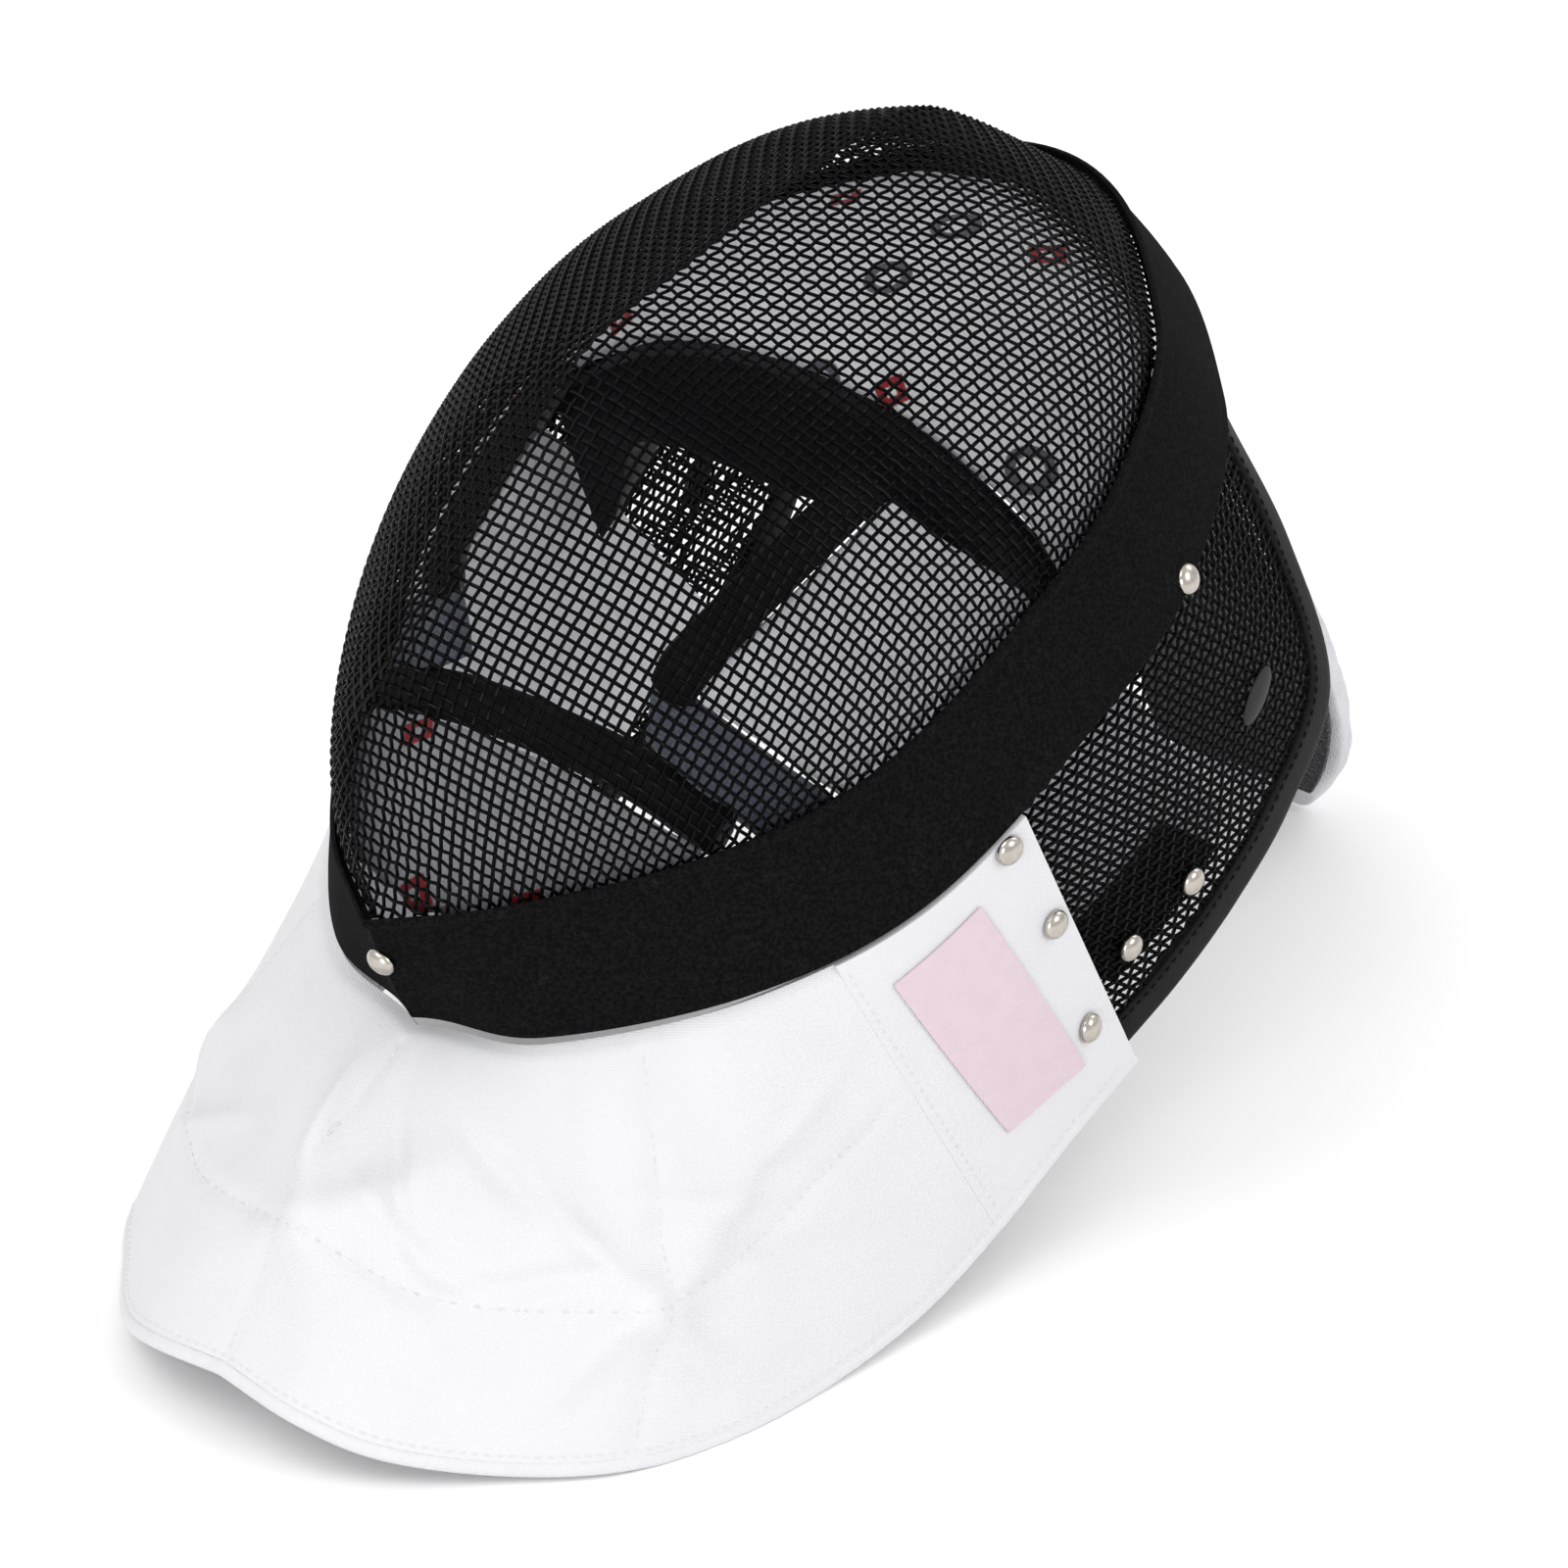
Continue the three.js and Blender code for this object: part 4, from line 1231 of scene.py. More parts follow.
@dataclass
class FaceMesh:
    """Woven face mesh, folded along its middle, and the two woven side meshes."""

    start: float = 0.0035
    end: float = 0.985
    pitch: float = 3.35
    step: float = 3.25
    # how far level wires droop towards the ears, at the chin and at the crown
    droop: tuple[float, float] = (math.radians(-4), math.radians(23))
    # how far wires run on beneath the band, and stop short of the rear edge
    tucked: float = 4.0
    covered: float = 10.5
    side_radius: float = 0.62
    # where the side wires are laid from, and how far they run: shares up and back
    side_seed: float = 0.45
    side_up: tuple[float, float] = (0.005, 0.995)
    side_back: tuple[float, float] = (0.0, 0.99)
    # side shares that the search for level wires covers
    fold_side: float = 1e-6
    far_side: float = 1.6

    def build(self) -> None:
        """Lays and makes all wires, in place of the plain shells."""
        self._front()
        self._sides()

    def _normals(self, surface: Surface, places: Array) -> Array:
        """Finds outward normals of a surface at its shares.

        Args:
            surface: The surface.
            places: Surface shares.

        Returns:
            Unit normals.
        """
        a, b = places[..., 0], places[..., 1]
        step = 1e-3
        along = surface(np.minimum(a + step, 1), b) - surface(np.maximum(a - step, 0), b)
        across = surface(a, b + step) - surface(a, np.maximum(b - step, 1e-6))
        normal = unit(np.cross(along, across))
        flip = np.sum(normal * (surface(a, b) - HEAD), -1) < 0
        normal[flip] *= -1
        return normal

    def _front_places(self) -> Array:
        """Lays the crossings of the face mesh: level wires, and upright ones at even steps from the fold.

        Returns:
            Surface shares of each crossing on the wearer's left, not a number past the wires' ends.
        """
        share = np.linspace(self.start, self.end, 3000)
        run = run_along(FORM.front(share, np.full(share.shape, self.fold_side)))
        levels = np.interp(np.arange(0, run[-1], self.pitch), run, share)
        droop = lerp(*self.droop, levels)
        facing = np.stack([0 * droop, np.sin(droop), np.cos(droop)], -1)
        height = np.sum(FORM.front(levels, np.full(levels.shape, self.fold_side)) * facing, -1)
        side = np.broadcast_to(np.linspace(self.fold_side, self.far_side, 300), (len(levels), 300))
        low, high = np.zeros(side.shape), np.ones(side.shape)
        for _ in range(20):
            middle = (low + high) / 2
            below = np.sum(FORM.front(middle, side) * facing[:, None], -1) < height[:, None]
            low, high = np.where(below, middle, low), np.where(below, high, middle)
        points = FORM.front(low, side)
        past = np.linalg.norm(points - FORM.front(low, np.ones(side.shape)), axis=-1) > self.tucked
        ended = (low < 0.0005) | (low > 0.9985) | ((side > 1) & past)
        arc = np.cumsum(np.linalg.norm(np.diff(points, axis=1, prepend=points[:, :1]), axis=-1), 1)
        steps = np.arange(0, arc.max(), self.step)
        places = np.full((len(levels), len(steps), 2), np.nan)
        for line in range(len(levels)):
            last = np.argmax(ended[line]) if ended[line].any() else side.shape[1]
            if last < 2:
                continue
            reached = steps < arc[line, last - 1]
            for k, table in enumerate((low, side)):
                places[line, reached, k] = np.interp(steps[reached], arc[line, :last], table[line, :last])
        return places

    def _front(self) -> None:
        """Makes the wires of the face mesh."""
        places = self._front_places()
        points = FORM.front(places[..., 0], places[..., 1])
        points[np.isnan(places[..., 0])] = np.nan
        normals = self._normals(FORM.front, places)
        normals[:, 0, 0] = 0
        normals[:, 0] = unit(normals[:, 0])
        mirror = np.array([-1, 1, 1])
        points = np.concatenate([points[:, :0:-1] * mirror, points], 1)
        normals = np.concatenate([normals[:, :0:-1] * mirror, normals], 1)
        cloth = WireCloth("face_wires", points, normals)
        lift = -2 * FORM.clearance - FORM.mesh_wall / 2
        for way in Way:
            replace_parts(cloth.build(way, lift), "front_mesh")

    def _sides(self) -> None:
        """Makes the wires of both side meshes."""
        net = WovenNet(lambda a, b: FORM.side(np.clip(a, 0, 1), b))
        seed = (self.side_seed, self.side_seed)
        quarters = {}
        for high in (True, False):
            for rear in (True, False):
                column = net.trail(seed, (self.side_up[high], seed[1]))
                row = net.trail(seed, (seed[0], self.side_back[rear]))
                quarters[high, rear] = net.fill(column, row)
        top = np.concatenate([quarters[True, False][:, :0:-1], quarters[True, True]], 1)
        foot = np.concatenate([quarters[False, False][:, :0:-1], quarters[False, True]], 1)
        places = np.concatenate([foot[:0:-1], top])
        points = FORM.side(places[..., 0], places[..., 1])
        left = np.linalg.norm(FORM.side(places[..., 0], np.ones(places.shape[:-1])) - points, axis=-1)
        places[left < self.covered] = np.nan
        points[np.isnan(places[..., 0])] = np.nan
        normals = self._normals(FORM.side, places)
        for side in Side:
            mirror = np.array([side.value, 1, 1])
            name = f"side_wires_{side.word}"
            cloth = WireCloth(name, points * mirror, normals * mirror, self.side_radius)
            for way in Way:
                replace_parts(cloth.build(way, -FORM.mesh_wall / 2), f"side_mesh_{side.word}")


@dataclass
class Trim:
    """Suede band round the face mesh and tape on the rear edges of the side meshes."""

    bead_height: float = 1.4
    bead_width: float = 5.6
    overhang: float = 2.4
    camber: float = 0.8
    tape_width: float = 12
    tape_wall: float = 4
    bead_turn: tuple[float, float] = (0.1, math.pi - 0.25)
    # seam groove near the band's outer edge: how far in, how wide and how deep
    groove: tuple[float, float, float] = (3, 0.8, 0.35)
    # the tape's row of stitches: in from its edge, and how deep it is pulled in
    stitch_inset: float = 2.2
    stitch_sink: float = 0.12

    def build(self) -> None:
        """Makes the band and both edge tapes."""
        self._band()
        self._edges()

    def _band(self) -> None:
        """Makes the band as one closed loop with a rolled inner edge."""
        top = FORM.band_wall - FORM.band_sink
        width = FORM.band_width
        turn = np.linspace(*self.bead_turn, 8)
        bead_across = -self.overhang + self.bead_width * 0.3 * (1 - np.cos(turn))
        bead = np.stack([bead_across, top + 0.2 + self.bead_height * np.sin(turn)], -1)
        across = np.linspace(self.bead_width - self.overhang - 1, width - 1.2, 16)
        inset, spread, depth = self.groove
        camber = self.camber * (1 - ((across - width / 2) / (width / 2)) ** 2)
        dip = depth * np.exp(-(((across - width + inset) / spread) ** 2))
        face = np.stack([across, top + camber - dip], -1)
        rim = [(width - 0.4, top - 0.15), (width, top - 0.5), (width, -FORM.band_sink)]
        under = [(2 * FORM.clearance, -FORM.band_sink), (2 * FORM.clearance, 0.1)]
        section = np.array([*bead, *face, *rim, *under])
        share = np.concatenate([np.linspace(0, 1, 150), -np.linspace(1, 0, 150)[1:-1]])
        share[-1] = min(share[-1], -1e-4)
        band = swept_piece("suede_band", FORM.band_frame(share), section, SUEDE, closed=True)
        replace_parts(band, "trim_band")

    def _edges(self) -> None:
        """Makes the tape that binds each side mesh's rear edge, with its row of stitches."""
        count = 90
        s = np.linspace(0, 1, count)
        edge, inner = FORM.side(s, np.ones(count)), FORM.side(s, np.full(count, 0.9))
        origins, sideways, upwards = edge_frames(edge, inner, FORM.clearance)
        section = rounded(self.tape_width, self.tape_wall, 24, 4.0)
        section = section + [-self.tape_width / 2 + FORM.clearance, -FORM.mesh_wall / 2]
        tape = swept_piece("edge_tape_left", (origins, sideways, upwards), section, TAPE)
        height = self.tape_wall / 2 - FORM.mesh_wall / 2 - self.stitch_sink
        line = origins - sideways * (self.tape_width - self.stitch_inset) + upwards * height
        thread = stitched("edge_stitches_left", line, upwards, TAPE)
        other = mirror_copy(tape, "edge_tape_right")
        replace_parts(tape, "edge_binding_left")
        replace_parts(other, "edge_binding_right")
        mirror_copy(thread, "edge_stitches_right")


@dataclass
class Bib:
    """Satin bib with its hem, tabs, bare patch, seams and stitches."""

    seam_top: float = 0.74
    seam_hem: float = 0.8
    seam_gap: float = 0.0001
    # how deep the cloth is drawn in where it is sewn to the band, and over which share of it
    tuck: float = 1.6
    tuck_share: float = 0.022
    # corners of the patch: around and down
    patch: tuple = ((0.8, 0.12), (0.925, 0.1), (0.845, 0.75), (0.945, 0.82))
    patch_wall: float = 0.8
    # fine creases: around, down, turn, reach, spread, lift
    creases: tuple = (
        (-0.03, 0.3, 72, 0.22, 0.03, 0.5),
        (0.1, 0.36, 55, 0.22, 0.035, -0.5),
        (0.16, 0.52, 20, 0.2, 0.03, 0.45),
        (0.24, 0.3, 28, 0.2, 0.035, -0.5),
        (0.3, 0.55, -14, 0.22, 0.035, -0.5),
        (0.33, 0.42, 42, 0.16, 0.03, 0.5),
        (0.36, 0.72, -55, 0.18, 0.035, 0.5),
        (0.5, 0.42, 10, 0.2, 0.035, 0.55),
        (0.55, 0.56, 24, 0.22, 0.035, -0.5),
        (0.48, 0.78, 40, 0.2, 0.035, 0.45),
        (0.62, 0.3, -20, 0.16, 0.03, 0.4),
        (-0.28, 0.55, -30, 0.2, 0.035, 0.5),
        (-0.5, 0.42, 35, 0.2, 0.035, -0.45),
    )
    # millimetres of cloth in one share around and down, for distances from the seams
    cloth_size: tuple[float, float] = (190, 120)
    # along each seam: depth and width of its groove, height, distance and width of the swell beside it
    groove: tuple[float, float] = (0.6, 1.6)
    swell: tuple[float, float, float] = (0.3, 5, 3.5)
    # how thick the bib's thread is, as a share of the usual one
    thread: float = 0.6
    # seams: around and down of their points
    seams: tuple = (
        ((0.0, 0.06), (-0.005, 0.5), (0.0, 0.95)),
        ((0.42, 0.05), (0.425, 0.5), (0.41, 0.95)),
        ((-0.42, 0.05), (-0.425, 0.5), (-0.41, 0.95)),
        ((-0.72, 0.34), (-0.42, 0.58), (0.0, 0.6), (0.42, 0.6), (0.72, 0.4)),
    )

    def build(self) -> None:
        """Makes the bib's cloth, tabs, hem, patch and stitches."""
        self._lines = [Curve(np.array([(a, d, 0) for a, d in seam])) for seam in self.seams]
        self._cloth()
        self._tabs()
        self._hem()
        self._patch()
        self._threads()

    def _seam(self, down: Array) -> Array:
        """Returns where the tab starts, around the bib, at a share down it."""
        return lerp(self.seam_top, self.seam_hem, down)

    def _stop(self, around: Array) -> Array:
        """Finds where the bib's cloth ends in the hem.

        Args:
            around: -1 to 1 from tab to tab.

        Returns:
            Shares down the bib.
        """
        around = np.asarray(around, float)
        depth = np.linalg.norm(FORM.bib(around, 0 * around) - FORM.bib(around, 1 + 0 * around), axis=-1)
        return 1 - (FORM.hem_width - 0.5) / depth

    def _relief(self, around: Array, down: Array) -> Array:
        """Finds the fine relief of the bib's outer face.

        Args:
            around: -1 to 1 from tab to tab.
            down: 0 at the band and 1 at the hem.

        Returns:
            Heights in millimetres.
        """
        relief = FORM.bib_fold * FORM.fold_lift(around, down, self.creases)
        s = np.linspace(0, 1, 80)
        depth, width = self.groove
        height, beside, spread = self.swell
        for line in self._lines:
            path = line.at(s)
            dx = (around[..., None] - path[:, 0]) * self.cloth_size[0]
            dy = (down[..., None] - path[:, 1]) * self.cloth_size[1]
            near = np.sqrt(dx**2 + dy**2).min(-1)
            relief -= depth * np.exp(-((near / width) ** 2))
            relief += height * np.exp(-(((near - beside) / spread) ** 2))
        ease = np.clip(np.minimum(down, 1 - down) * 14, 0, 1)
        return relief * ease - self.tuck * np.exp(-((down / self.tuck_share) ** 2))

    def _cloth(self) -> None:
        """Makes the bib's main cloth."""
        u, v = np.meshgrid(np.linspace(-1, 1, 241), np.linspace(0, 1, 81), indexing="ij")
        around = u * (self._seam(v) - self.seam_gap)
        down = v * self._stop(around)
        points = FORM.bib(around, down)
        bib = sheet_piece("bib_cloth", points, FORM.bib_wall, 0, SATIN, swell=self._relief(around, down))
        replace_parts(bib, "bib")

    def _tabs(self) -> None:
        """Makes the smooth tab on each side."""
        u, v = np.meshgrid(np.linspace(0, 1, 25), np.linspace(0, 1, 41), indexing="ij")
        around = lerp(self._seam(v) + self.seam_gap, 1, u)
        down = v * self._stop(around)
        tab = sheet_piece("tab_cloth_left", FORM.bib(around, down), FORM.bib_wall, 0, SATIN)
        other = mirror_copy(tab, "tab_cloth_right")
        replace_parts(tab, "bib_tab_left")
        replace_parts(other, "bib_tab_right")

    def _hem(self) -> None:
        """Makes the bound lower edge, puckered a little by its stitches."""
        count = 420
        a = np.linspace(-1, 1, count)
        edge, inner = FORM.bib(a, np.ones(count)), FORM.bib(a, np.full(count, 0.9))
        frames = edge_frames(edge, inner, -FORM.hem_width / 2)
        base = rounded(FORM.hem_width, FORM.bib_wall + 1, 16, 2.6)
        run = np.cumsum(np.linalg.norm(np.gradient(frames[0], axis=0), axis=1))
        pucker = 1 + 0.05 * np.sin(run * 2 * math.pi / 7) * np.sin(run * 2 * math.pi / 31)
        section = base[None] * np.stack([np.ones(count), pucker], -1)[:, None]
        section = section - [0, FORM.bib_wall / 2]
        hem = swept_piece("hem_tape", frames, section, SATIN)
        press(hem)
        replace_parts(hem, "bib_hem")

    def _patch(self) -> None:
        """Makes the bare patch on the wearer's left tab, its rim sunk a little."""
        (a0, d0), (a1, d1), (a2, d2), (a3, d3) = self.patch
        u, v = np.meshgrid(np.linspace(0, 1, 21), np.linspace(0, 1, 33), indexing="ij")
        around = lerp(lerp(a0, a1, u), lerp(a2, a3, u), v)
        down = lerp(lerp(d0, d1, u), lerp(d2, d3, u), v)
        points = FORM.bib(around, down)
        edge = np.minimum(np.minimum(u, 1 - u) * 30, np.minimum(v, 1 - v) * 70)
        swell = -0.25 * np.exp(-((edge / 0.6) ** 2))
        lift = self.patch_wall + FORM.clearance
        patch = sheet_piece("patch", points, self.patch_wall, lift, PATCH, swell=swell)
        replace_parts(patch, "label_patch")

    def _threads(self) -> None:
        """Makes the stitches along the hem, the seams and each tab's seam."""
        a = np.linspace(-0.985, 0.985, 500)
        stop = self._stop(a) * 0.985
        self._row("hem_stitches", a, stop)
        for number, line in enumerate(self._lines):
            path = line.at(np.linspace(0, 1, 160))
            self._row(f"seam_stitches_{number + 1}", path[:, 0], path[:, 1])
        down = np.linspace(0.02, 0.93, 120)
        for side in Side:
            self._row(f"tab_stitches_{side.word}", side.value * (self._seam(down) + 0.012), down)

    def _row(self, name: str, around: Array, down: Array) -> None:
        """Makes one row of stitches on the bib's outer face.

        Args:
            name: Name of the piece.
            around: Shares around the bib along the row.
            down: Shares down the bib along the row.
        """
        points = FORM.bib(around, down)
        step = 1e-3
        du = FORM.bib(around + step, down) - FORM.bib(around - step, down)
        dv = FORM.bib(around, down + step) - FORM.bib(around, down - step)
        normals = unit(np.cross(du, dv))
        normals *= np.sign(np.sum(normals * (points - HEAD), -1))[:, None]
        inside = np.abs(around) < self._seam(down) - self.seam_gap
        depth = np.where(inside, self._relief(around, down), 0)
        stitched(name, points + normals * depth[:, None], normals, SATIN, self.thread)


def press(piece: Piece) -> None:
    """Presses the part of a piece below the surface flat onto it.

    Args:
        piece: The object.
    """
    places = places_of(piece)
    places[:, 2] = np.maximum(places[:, 2], 0)
    set_places(piece, places)


@dataclass
class Padding:
    """Pads inside the shell with their bound edges, gussets, linings and strap anchors."""

    voxel: float = 0.0035
    shrink: float = 0.0002
    cap: float = 0.0016
    bevel: float = 0.0004
    # how far the bound edges wrap the pads' rims, and the gussets lap over them
    wrap: float = 0.0021
    overlap: float = 0.0015

    def build(self) -> None:
        """Makes each soft piece in its place."""
        for node, finish in (
            ("forehead_pad", PRINTED),
            ("cheek_pad_left", KNIT),
            ("cheek_pad_right", PRINTED),
            # the chin pad's grey tone is painted shade
            ("chin_pad", PAINTED_SHADE_PRINTED),
        ):
            self._pad(node, finish)
        sides = [side.word for side in Side]
        for node in ("forehead_binding", *(f"cheek_binding_{side}" for side in sides), "chin_binding"):
            self._rounded_copy(node, TAPE, self.wrap)
        for kind, finish, swell in (
            ("cheek_gusset", NAVY, self.overlap),
            ("side_lining", KNIT, 0),
            ("strap_anchor", TAPE, 0),
        ):
            for side in sides:
                self._rounded_copy(f"{kind}_{side}", finish, swell)

    def _pad(self, node: str, finish: Finish) -> None:
        """Swells one pad from its plain solid.

        Args:
            node: The solid's name.
            finish: The pad's finish.
        """
        pad = soft_copy(node, node.replace("_pad", "_cushion"), self.voxel, self.shrink)
        inflate(pad, self.cap)
        subdivided(pad, 1)
        dressed(pad, finish, 60)
        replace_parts(pad, node)

    def _rounded_copy(self, node: str, finish: Finish, swell: float) -> None:
        """Copies a solid, rounds its edges and gives it a finish.

        Args:
            node: The solid's name.
            finish: The piece's finish.
            swell: How far its surface is moved out.
        """
        piece = copied(node, node + "_cloth")
        if swell:
            moved(piece, swell)
        bevelled(piece, self.bevel, 2)
        subdivided(piece, 1)
        dressed(piece, finish, 50)
        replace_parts(piece, node)


def copied(node: str, name: str) -> Piece:
    """Copies a solid's mesh with its doubles merged.

    Args:
        node: The solid's name.
        name: Name of the copy.

    Returns:
        The copy, active and alone selected.
    """
    piece = twin(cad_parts[node], name)
    piece.hide_render = piece.hide_viewport = False
    choose(piece)
    bpy.ops.object.mode_set(mode="EDIT")
    bpy.ops.mesh.select_all(action="SELECT")
    bpy.ops.mesh.remove_doubles(threshold=0.00002)
    bpy.ops.mesh.dissolve_limited(angle_limit=math.radians(0.5))
    bpy.ops.object.mode_set(mode="OBJECT")
    return piece


def moved(piece: Piece, outwards: float) -> None:
    """Moves a piece's surface out along its normals.

    Args:
        piece: The object.
        outwards: How far, in metres.
    """
    normals = np.array([vertex.normal[:] for vertex in piece.data.vertices])
    set_places(piece, places_of(piece) + normals * outwards)


def finished(piece: Piece, kind: str, settings: dict) -> None:
    """Adds one modifier to a piece and applies it.

    Args:
        piece: The object.
        kind: The modifier's type.
        settings: Its properties.
    """
    choose(piece)
    modifier = piece.modifiers.new(kind.lower(), kind)
    for key, value in settings.items():
        setattr(modifier, key, value)
    bpy.ops.object.modifier_apply(modifier=modifier.name)


def bevelled(piece: Piece, width: float, segments: int) -> None:
    """Rounds a piece's sharp edges."""
    settings = {"width": width, "segments": segments, "limit_method": "ANGLE", "angle_limit": 0.7}
    finished(piece, "BEVEL", settings)


def subdivided(piece: Piece, levels: int) -> None:
    """Subdivides a piece smoothly."""
    finished(piece, "SUBSURF", {"levels": levels, "render_levels": levels})


def soft_copy(node: str, name: str, voxel: float, shrink: float) -> Piece:
    """Copies a soft solid, makes it a little smaller and gives it an even mesh.

    Args:
        node: The solid's name.
        name: Name of the copy.
        voxel: Size of the new mesh's faces, in metres.
        shrink: How far its surface is drawn in, in metres.

    Returns:
        The copy.
    """
    piece = copied(node, name)
    piece.data.remesh_voxel_size = voxel
    bpy.ops.object.voxel_remesh()
    moved(piece, -shrink)
    return piece


PRESSURE, STIFFNESS, FRAMES = 4.0, 25, 20


def inflate(piece: Piece, cap: float) -> None:
    """Swells a soft piece by simulated cloth under pressure.

    Args:
        piece: The object.
        cap: How far a point may move, in metres.
    """
    before = places_of(piece)
    cloth = piece.modifiers.new("swell", "CLOTH")
    cloth.settings.use_pressure = True
    cloth.settings.uniform_pressure_force = PRESSURE
    cloth.settings.effector_weights.gravity = 0
    cloth.settings.tension_stiffness = cloth.settings.compression_stiffness = STIFFNESS
    cloth.point_cache.frame_start, cloth.point_cache.frame_end = 1, FRAMES
    scene = bpy.context.scene
    for number in range(1, FRAMES + 1):
        scene.frame_set(number)
    choose(piece)
    bpy.ops.object.modifier_apply(modifier=cloth.name)
    scene.frame_set(1)
    move = places_of(piece) - before
    length = np.maximum(np.linalg.norm(move, axis=1, keepdims=True), 1e-9)
    set_places(piece, before + move * np.minimum(1, cap / length))


@dataclass
class Tongue:
    """Padded tongue behind the head with its dark lining."""

    voxel: float = 0.004
    shrink: float = 0.0012
    cap: float = 0.0024
    bevel: float = 0.0006

    def build(self) -> None:
        """Swells the tongue and dresses its lining."""
        tongue = soft_copy("tongue", "tongue_pad", self.voxel, self.shrink)
        inflate(tongue, self.cap)
        press(tongue)
        subdivided(tongue, 1)
        press(tongue)
        dressed(tongue, GREY_KNIT, 60)
        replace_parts(tongue, "tongue")
        lining = copied("tongue_lining", "tongue_towelling")
        bevelled(lining, self.bevel, 2)
        subdivided(lining, 1)
        # the lining's near-black tone is painted shade
        dressed(lining, PAINTED_SHADE_NAVY, 50)
        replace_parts(lining, "tongue_lining")


@dataclass
class Hardware:
    """Nickel domes and the moulded caps, each on its solid's place."""

    segments: int = 28
    rings: int = 14
    # shares of the dome's radius: where the ball is cut, and how high its rim stands
    cut: float = 0.02
    rim: float = 0.12

    def build(self) -> None:
        """Makes one dome for each rivet and cap."""
        for node in sorted(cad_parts):
            if "rivet" in node or node.startswith("side_cap"):
                self._dome(node, CAP if node.startswith("side_cap") else NICKEL)

    def _dome(self, node: str, finish: Finish) -> None:
        """Makes one smooth dome with a thin rim, in the frame of its faceted solid.

        Args:
            node: The solid's name.
            finish: The dome's finish.
        """
        base, axes, sizes = dome_frame(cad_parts[node])
        bpy.ops.object.select_all(action="DESELECT")
        bpy.ops.mesh.primitive_uv_sphere_add(segments=self.segments, ring_count=self.rings, radius=1)
        piece = bpy.context.active_object
        piece.name = node + "_dome"
        bpy.ops.object.mode_set(mode="EDIT")
        bpy.ops.mesh.select_all(action="SELECT")
        bpy.ops.mesh.bisect(plane_co=(0, 0, self.cut), plane_no=(0, 0, 1), clear_inner=True)
        bpy.ops.object.mode_set(mode="OBJECT")
        low = places_of(piece)[:, 2] < self.cut + 0.01
        rim = [edge.index for edge in piece.data.edges if all(low[i] for i in edge.vertices)]
        bpy.ops.object.mode_set(mode="EDIT")
        bpy.ops.mesh.select_all(action="DESELECT")
        bpy.ops.object.mode_set(mode="OBJECT")
        for index in rim:
            piece.data.edges[index].select = True
        bpy.ops.object.mode_set(mode="EDIT")
        bpy.ops.mesh.select_mode(type="EDGE")
        bpy.ops.mesh.extrude_region_move(TRANSFORM_OT_translate={"value": (0, 0, -self.rim)})
        bpy.ops.mesh.edge_face_add()
        bpy.ops.object.mode_set(mode="OBJECT")
        places = places_of(piece)
        foot = places[:, 2].min()
        places[:, 2] = (places[:, 2] - foot) / (1 - foot)
        set_places(piece, places)
        place = Matrix.Identity(4)
        for k in range(3):
            for m in range(3):
                place[m][k] = axes[k][m] * sizes[k]
            place[k][3] = base[k]
        piece.data.transform(place)
        piece.matrix_world = Matrix.Identity(4)
        turn_outwards(piece)
        dressed(piece, finish, 50)
        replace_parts(piece, node)


def dome_frame(node: Piece) -> tuple[Vector, list[Vector], list[float]]:
    """Reads a faceted dome's base centre, axes and sizes from its mesh.

    Args:
        node: The solid's object.

    Returns:
        The base's centre, the two base axes with the outward one, and the sizes along them.
    """
    flat = max(node.data.polygons, key=lambda p: p.area)
    facing = [p for p in node.data.polygons if p.normal.dot(flat.normal) > 0.999]
    outward = -flat.normal.copy()
    places = places_of(node)
    corners = places[list({i for p in facing for i in p.vertices})]
    centre = corners.mean(0)
    spread = corners - centre
    first = Vector(np.linalg.eigh(spread.T @ spread)[1][:, 2])
    second = outward.cross(first).normalized()
    sizes = [float(np.abs(spread @ np.array(axis)).max()) for axis in (first, second)]
    height = float(((places - centre) @ np.array(outward)).max())
    return Vector(centre), [first, second, outward], [*sizes, height]


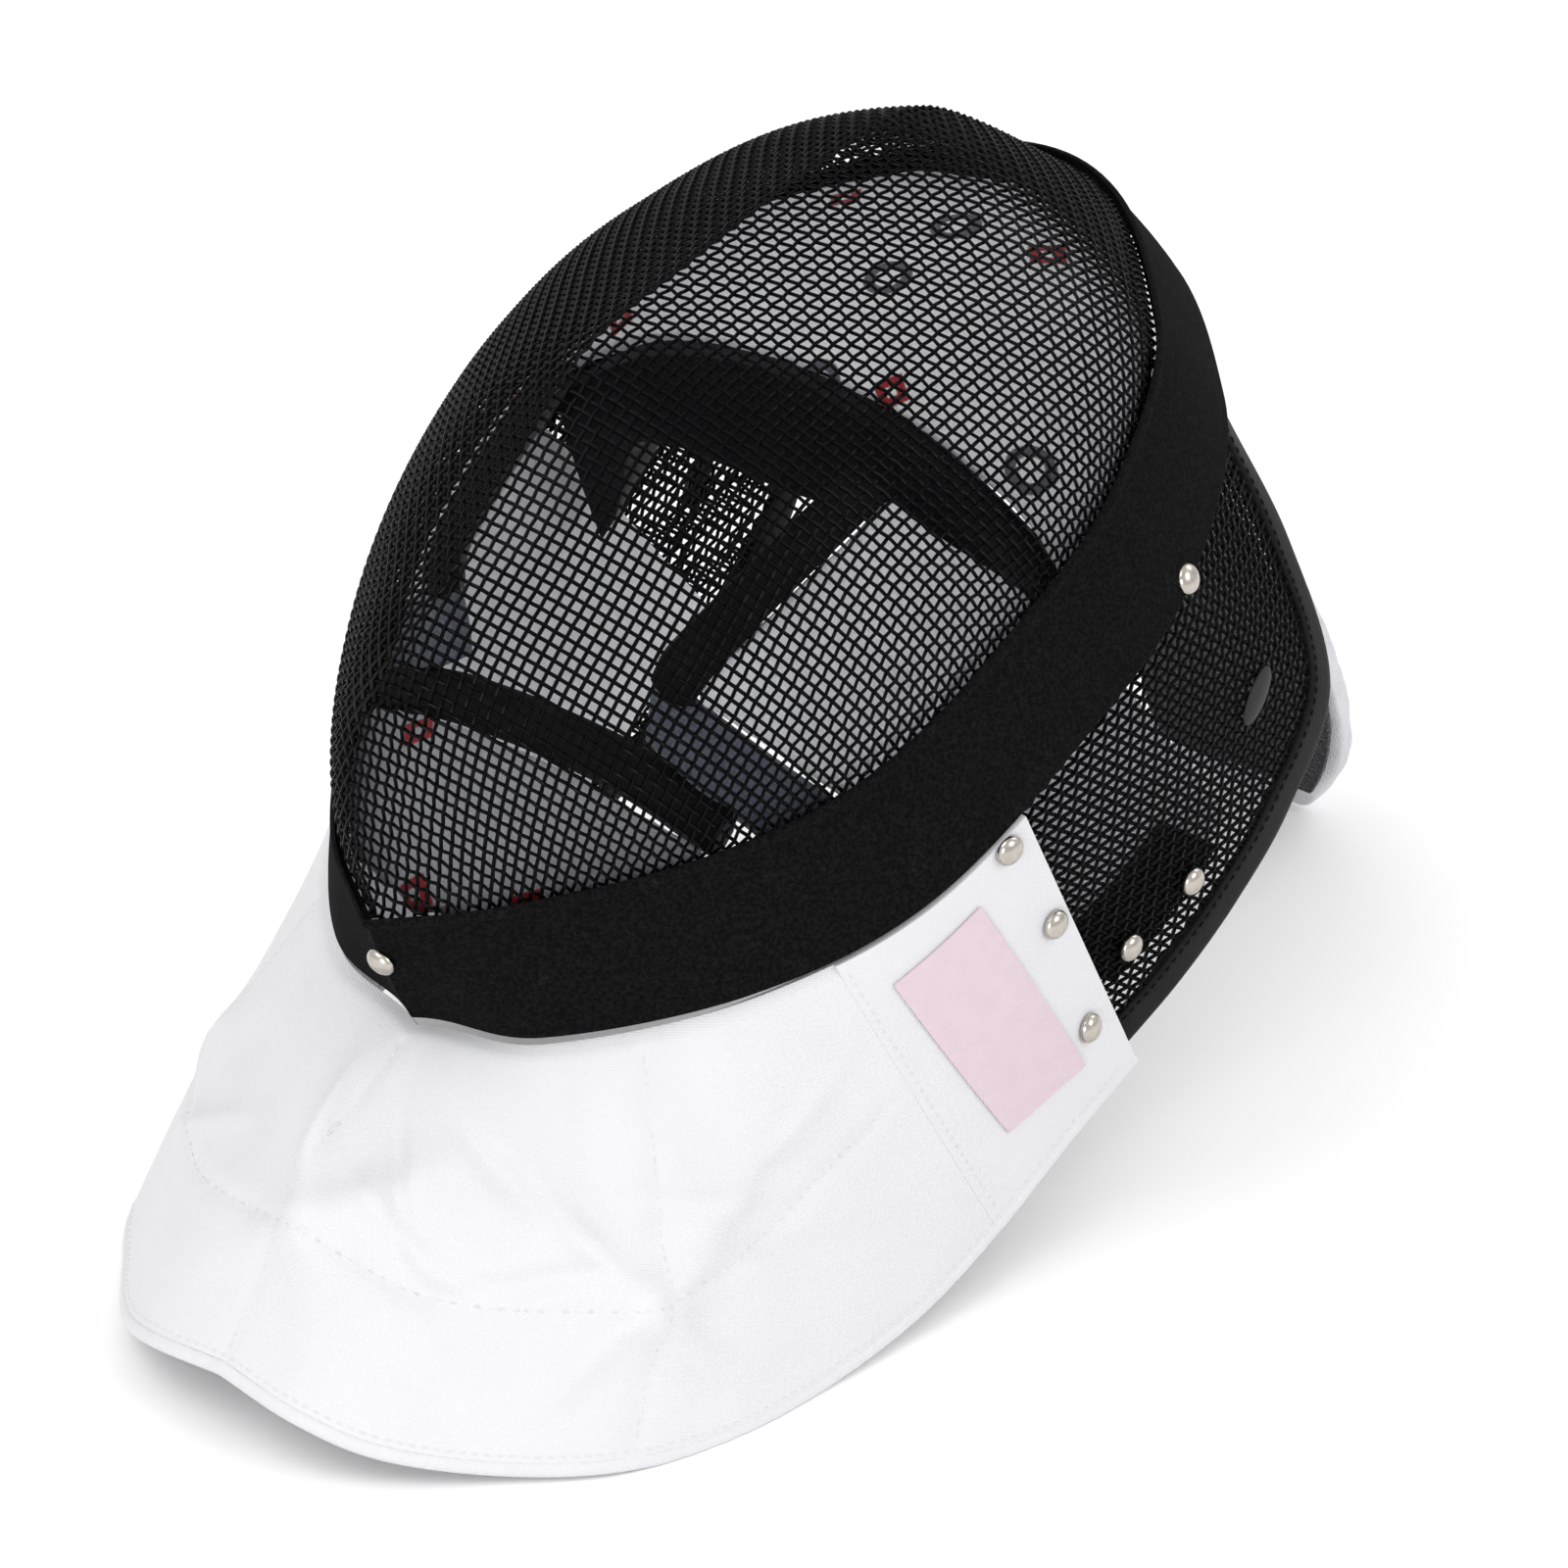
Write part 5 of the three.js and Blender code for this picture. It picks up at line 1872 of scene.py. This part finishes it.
@dataclass
class Studio:
    """Camera at the photograph's angle, pale floor and soft light."""

    distance: float = 1.5
    lens: float = 125.9
    # the picture's axes in the mask's frame, and where the camera looks, in millimetres along them
    across: tuple[float, float, float] = (0.756, 0.430, 0.494)
    upright: tuple[float, float, float] = (-0.295, -0.448, 0.844)
    towards: tuple[float, float, float] = (0.584, -0.783, -0.212)
    aim_across: float = 10.72
    aim_up: float = -66.5
    lit: tuple[float, float, float] = (0, 0, 0.12)
    sky: float = 0.84
    floor_tone: float = 0.96
    # each lamp's name, place, size and power
    lamps: tuple = (
        ("key", (-0.4, -1.1, 1.9), 1.6, 13),
        ("fill", (0.8, -1.7, 0.55), 1.0, 9),
        ("side", (1.9, 0.3, 1.5), 1.4, 12),
        ("back", (0.4, 1.7, 1.7), 1.4, 7),
    )

    def build(self) -> None:
        """Makes the camera, the floor and the lights."""
        self._camera()
        self._floor()
        self._lights()

    def _camera(self) -> None:
        """Makes the camera."""
        origin = FORM.placed(np.zeros(3))
        towards = unit(FORM.turned(np.array(self.towards)))
        across, upright = (unit(FORM.turned(np.array(v))) for v in (self.across, self.upright))
        place = Vector(origin + towards * self.distance)
        aim = Vector(origin + (across * self.aim_across + upright * self.aim_up) / 1000)
        data = bpy.data.cameras.new("photo_view")
        data.lens, data.sensor_width, data.clip_start, data.clip_end = self.lens, 36, 0.05, 50
        camera = bpy.data.objects.new("photo_view", data)
        camera.location = place
        camera.rotation_euler = (aim - place).to_track_quat("-Z", "Y").to_euler()
        bpy.context.collection.objects.link(camera)
        bpy.context.scene.camera = camera

    def _floor(self) -> None:
        """Makes the plain pale floor."""
        bpy.ops.object.select_all(action="DESELECT")
        bpy.ops.mesh.primitive_plane_add(size=12, location=(0, 0, -0.0002))
        floor = bpy.context.active_object
        floor.name = "floor"
        made = bpy.data.materials.new("pale_floor")
        made.use_nodes = True
        shader, tone = made.node_tree.nodes["Principled BSDF"], self.floor_tone
        NodeTree(made.node_tree).feed(shader, Base_Color=(tone, tone, tone, 1), Roughness=0.9)
        floor.data.materials.append(made)

    def _lights(self) -> None:
        """Makes the sky and four soft lamps."""
        world = bpy.data.worlds.new("studio")
        bpy.context.scene.world = world
        world.use_nodes = True
        NodeTree(world.node_tree).feed(world.node_tree.nodes["Background"], a0=(1, 1, 1, 1), a1=self.sky)
        for name, place, size, power in self.lamps:
            data = bpy.data.lights.new(name, "AREA")
            data.shape, data.size, data.energy = "DISK", size, power
            lamp = bpy.data.objects.new(name, data)
            lamp.location = place
            lamp.rotation_euler = (Vector(self.lit) - Vector(place)).to_track_quat("-Z", "Y").to_euler()
            bpy.context.collection.objects.link(lamp)
        bpy.context.scene.view_settings.view_transform = "Standard"


def main() -> None:
    """Builds the studio and each sub-assembly in turn."""
    logging.basicConfig(level=logging.INFO, format="%(message)s")
    for part in (Studio(), FaceMesh(), Trim(), Bib(), Padding(), Tongue(), Hardware()):
        log.info("building %s", type(part).__name__)
        part.build()


if __name__ == "__main__":
    main()
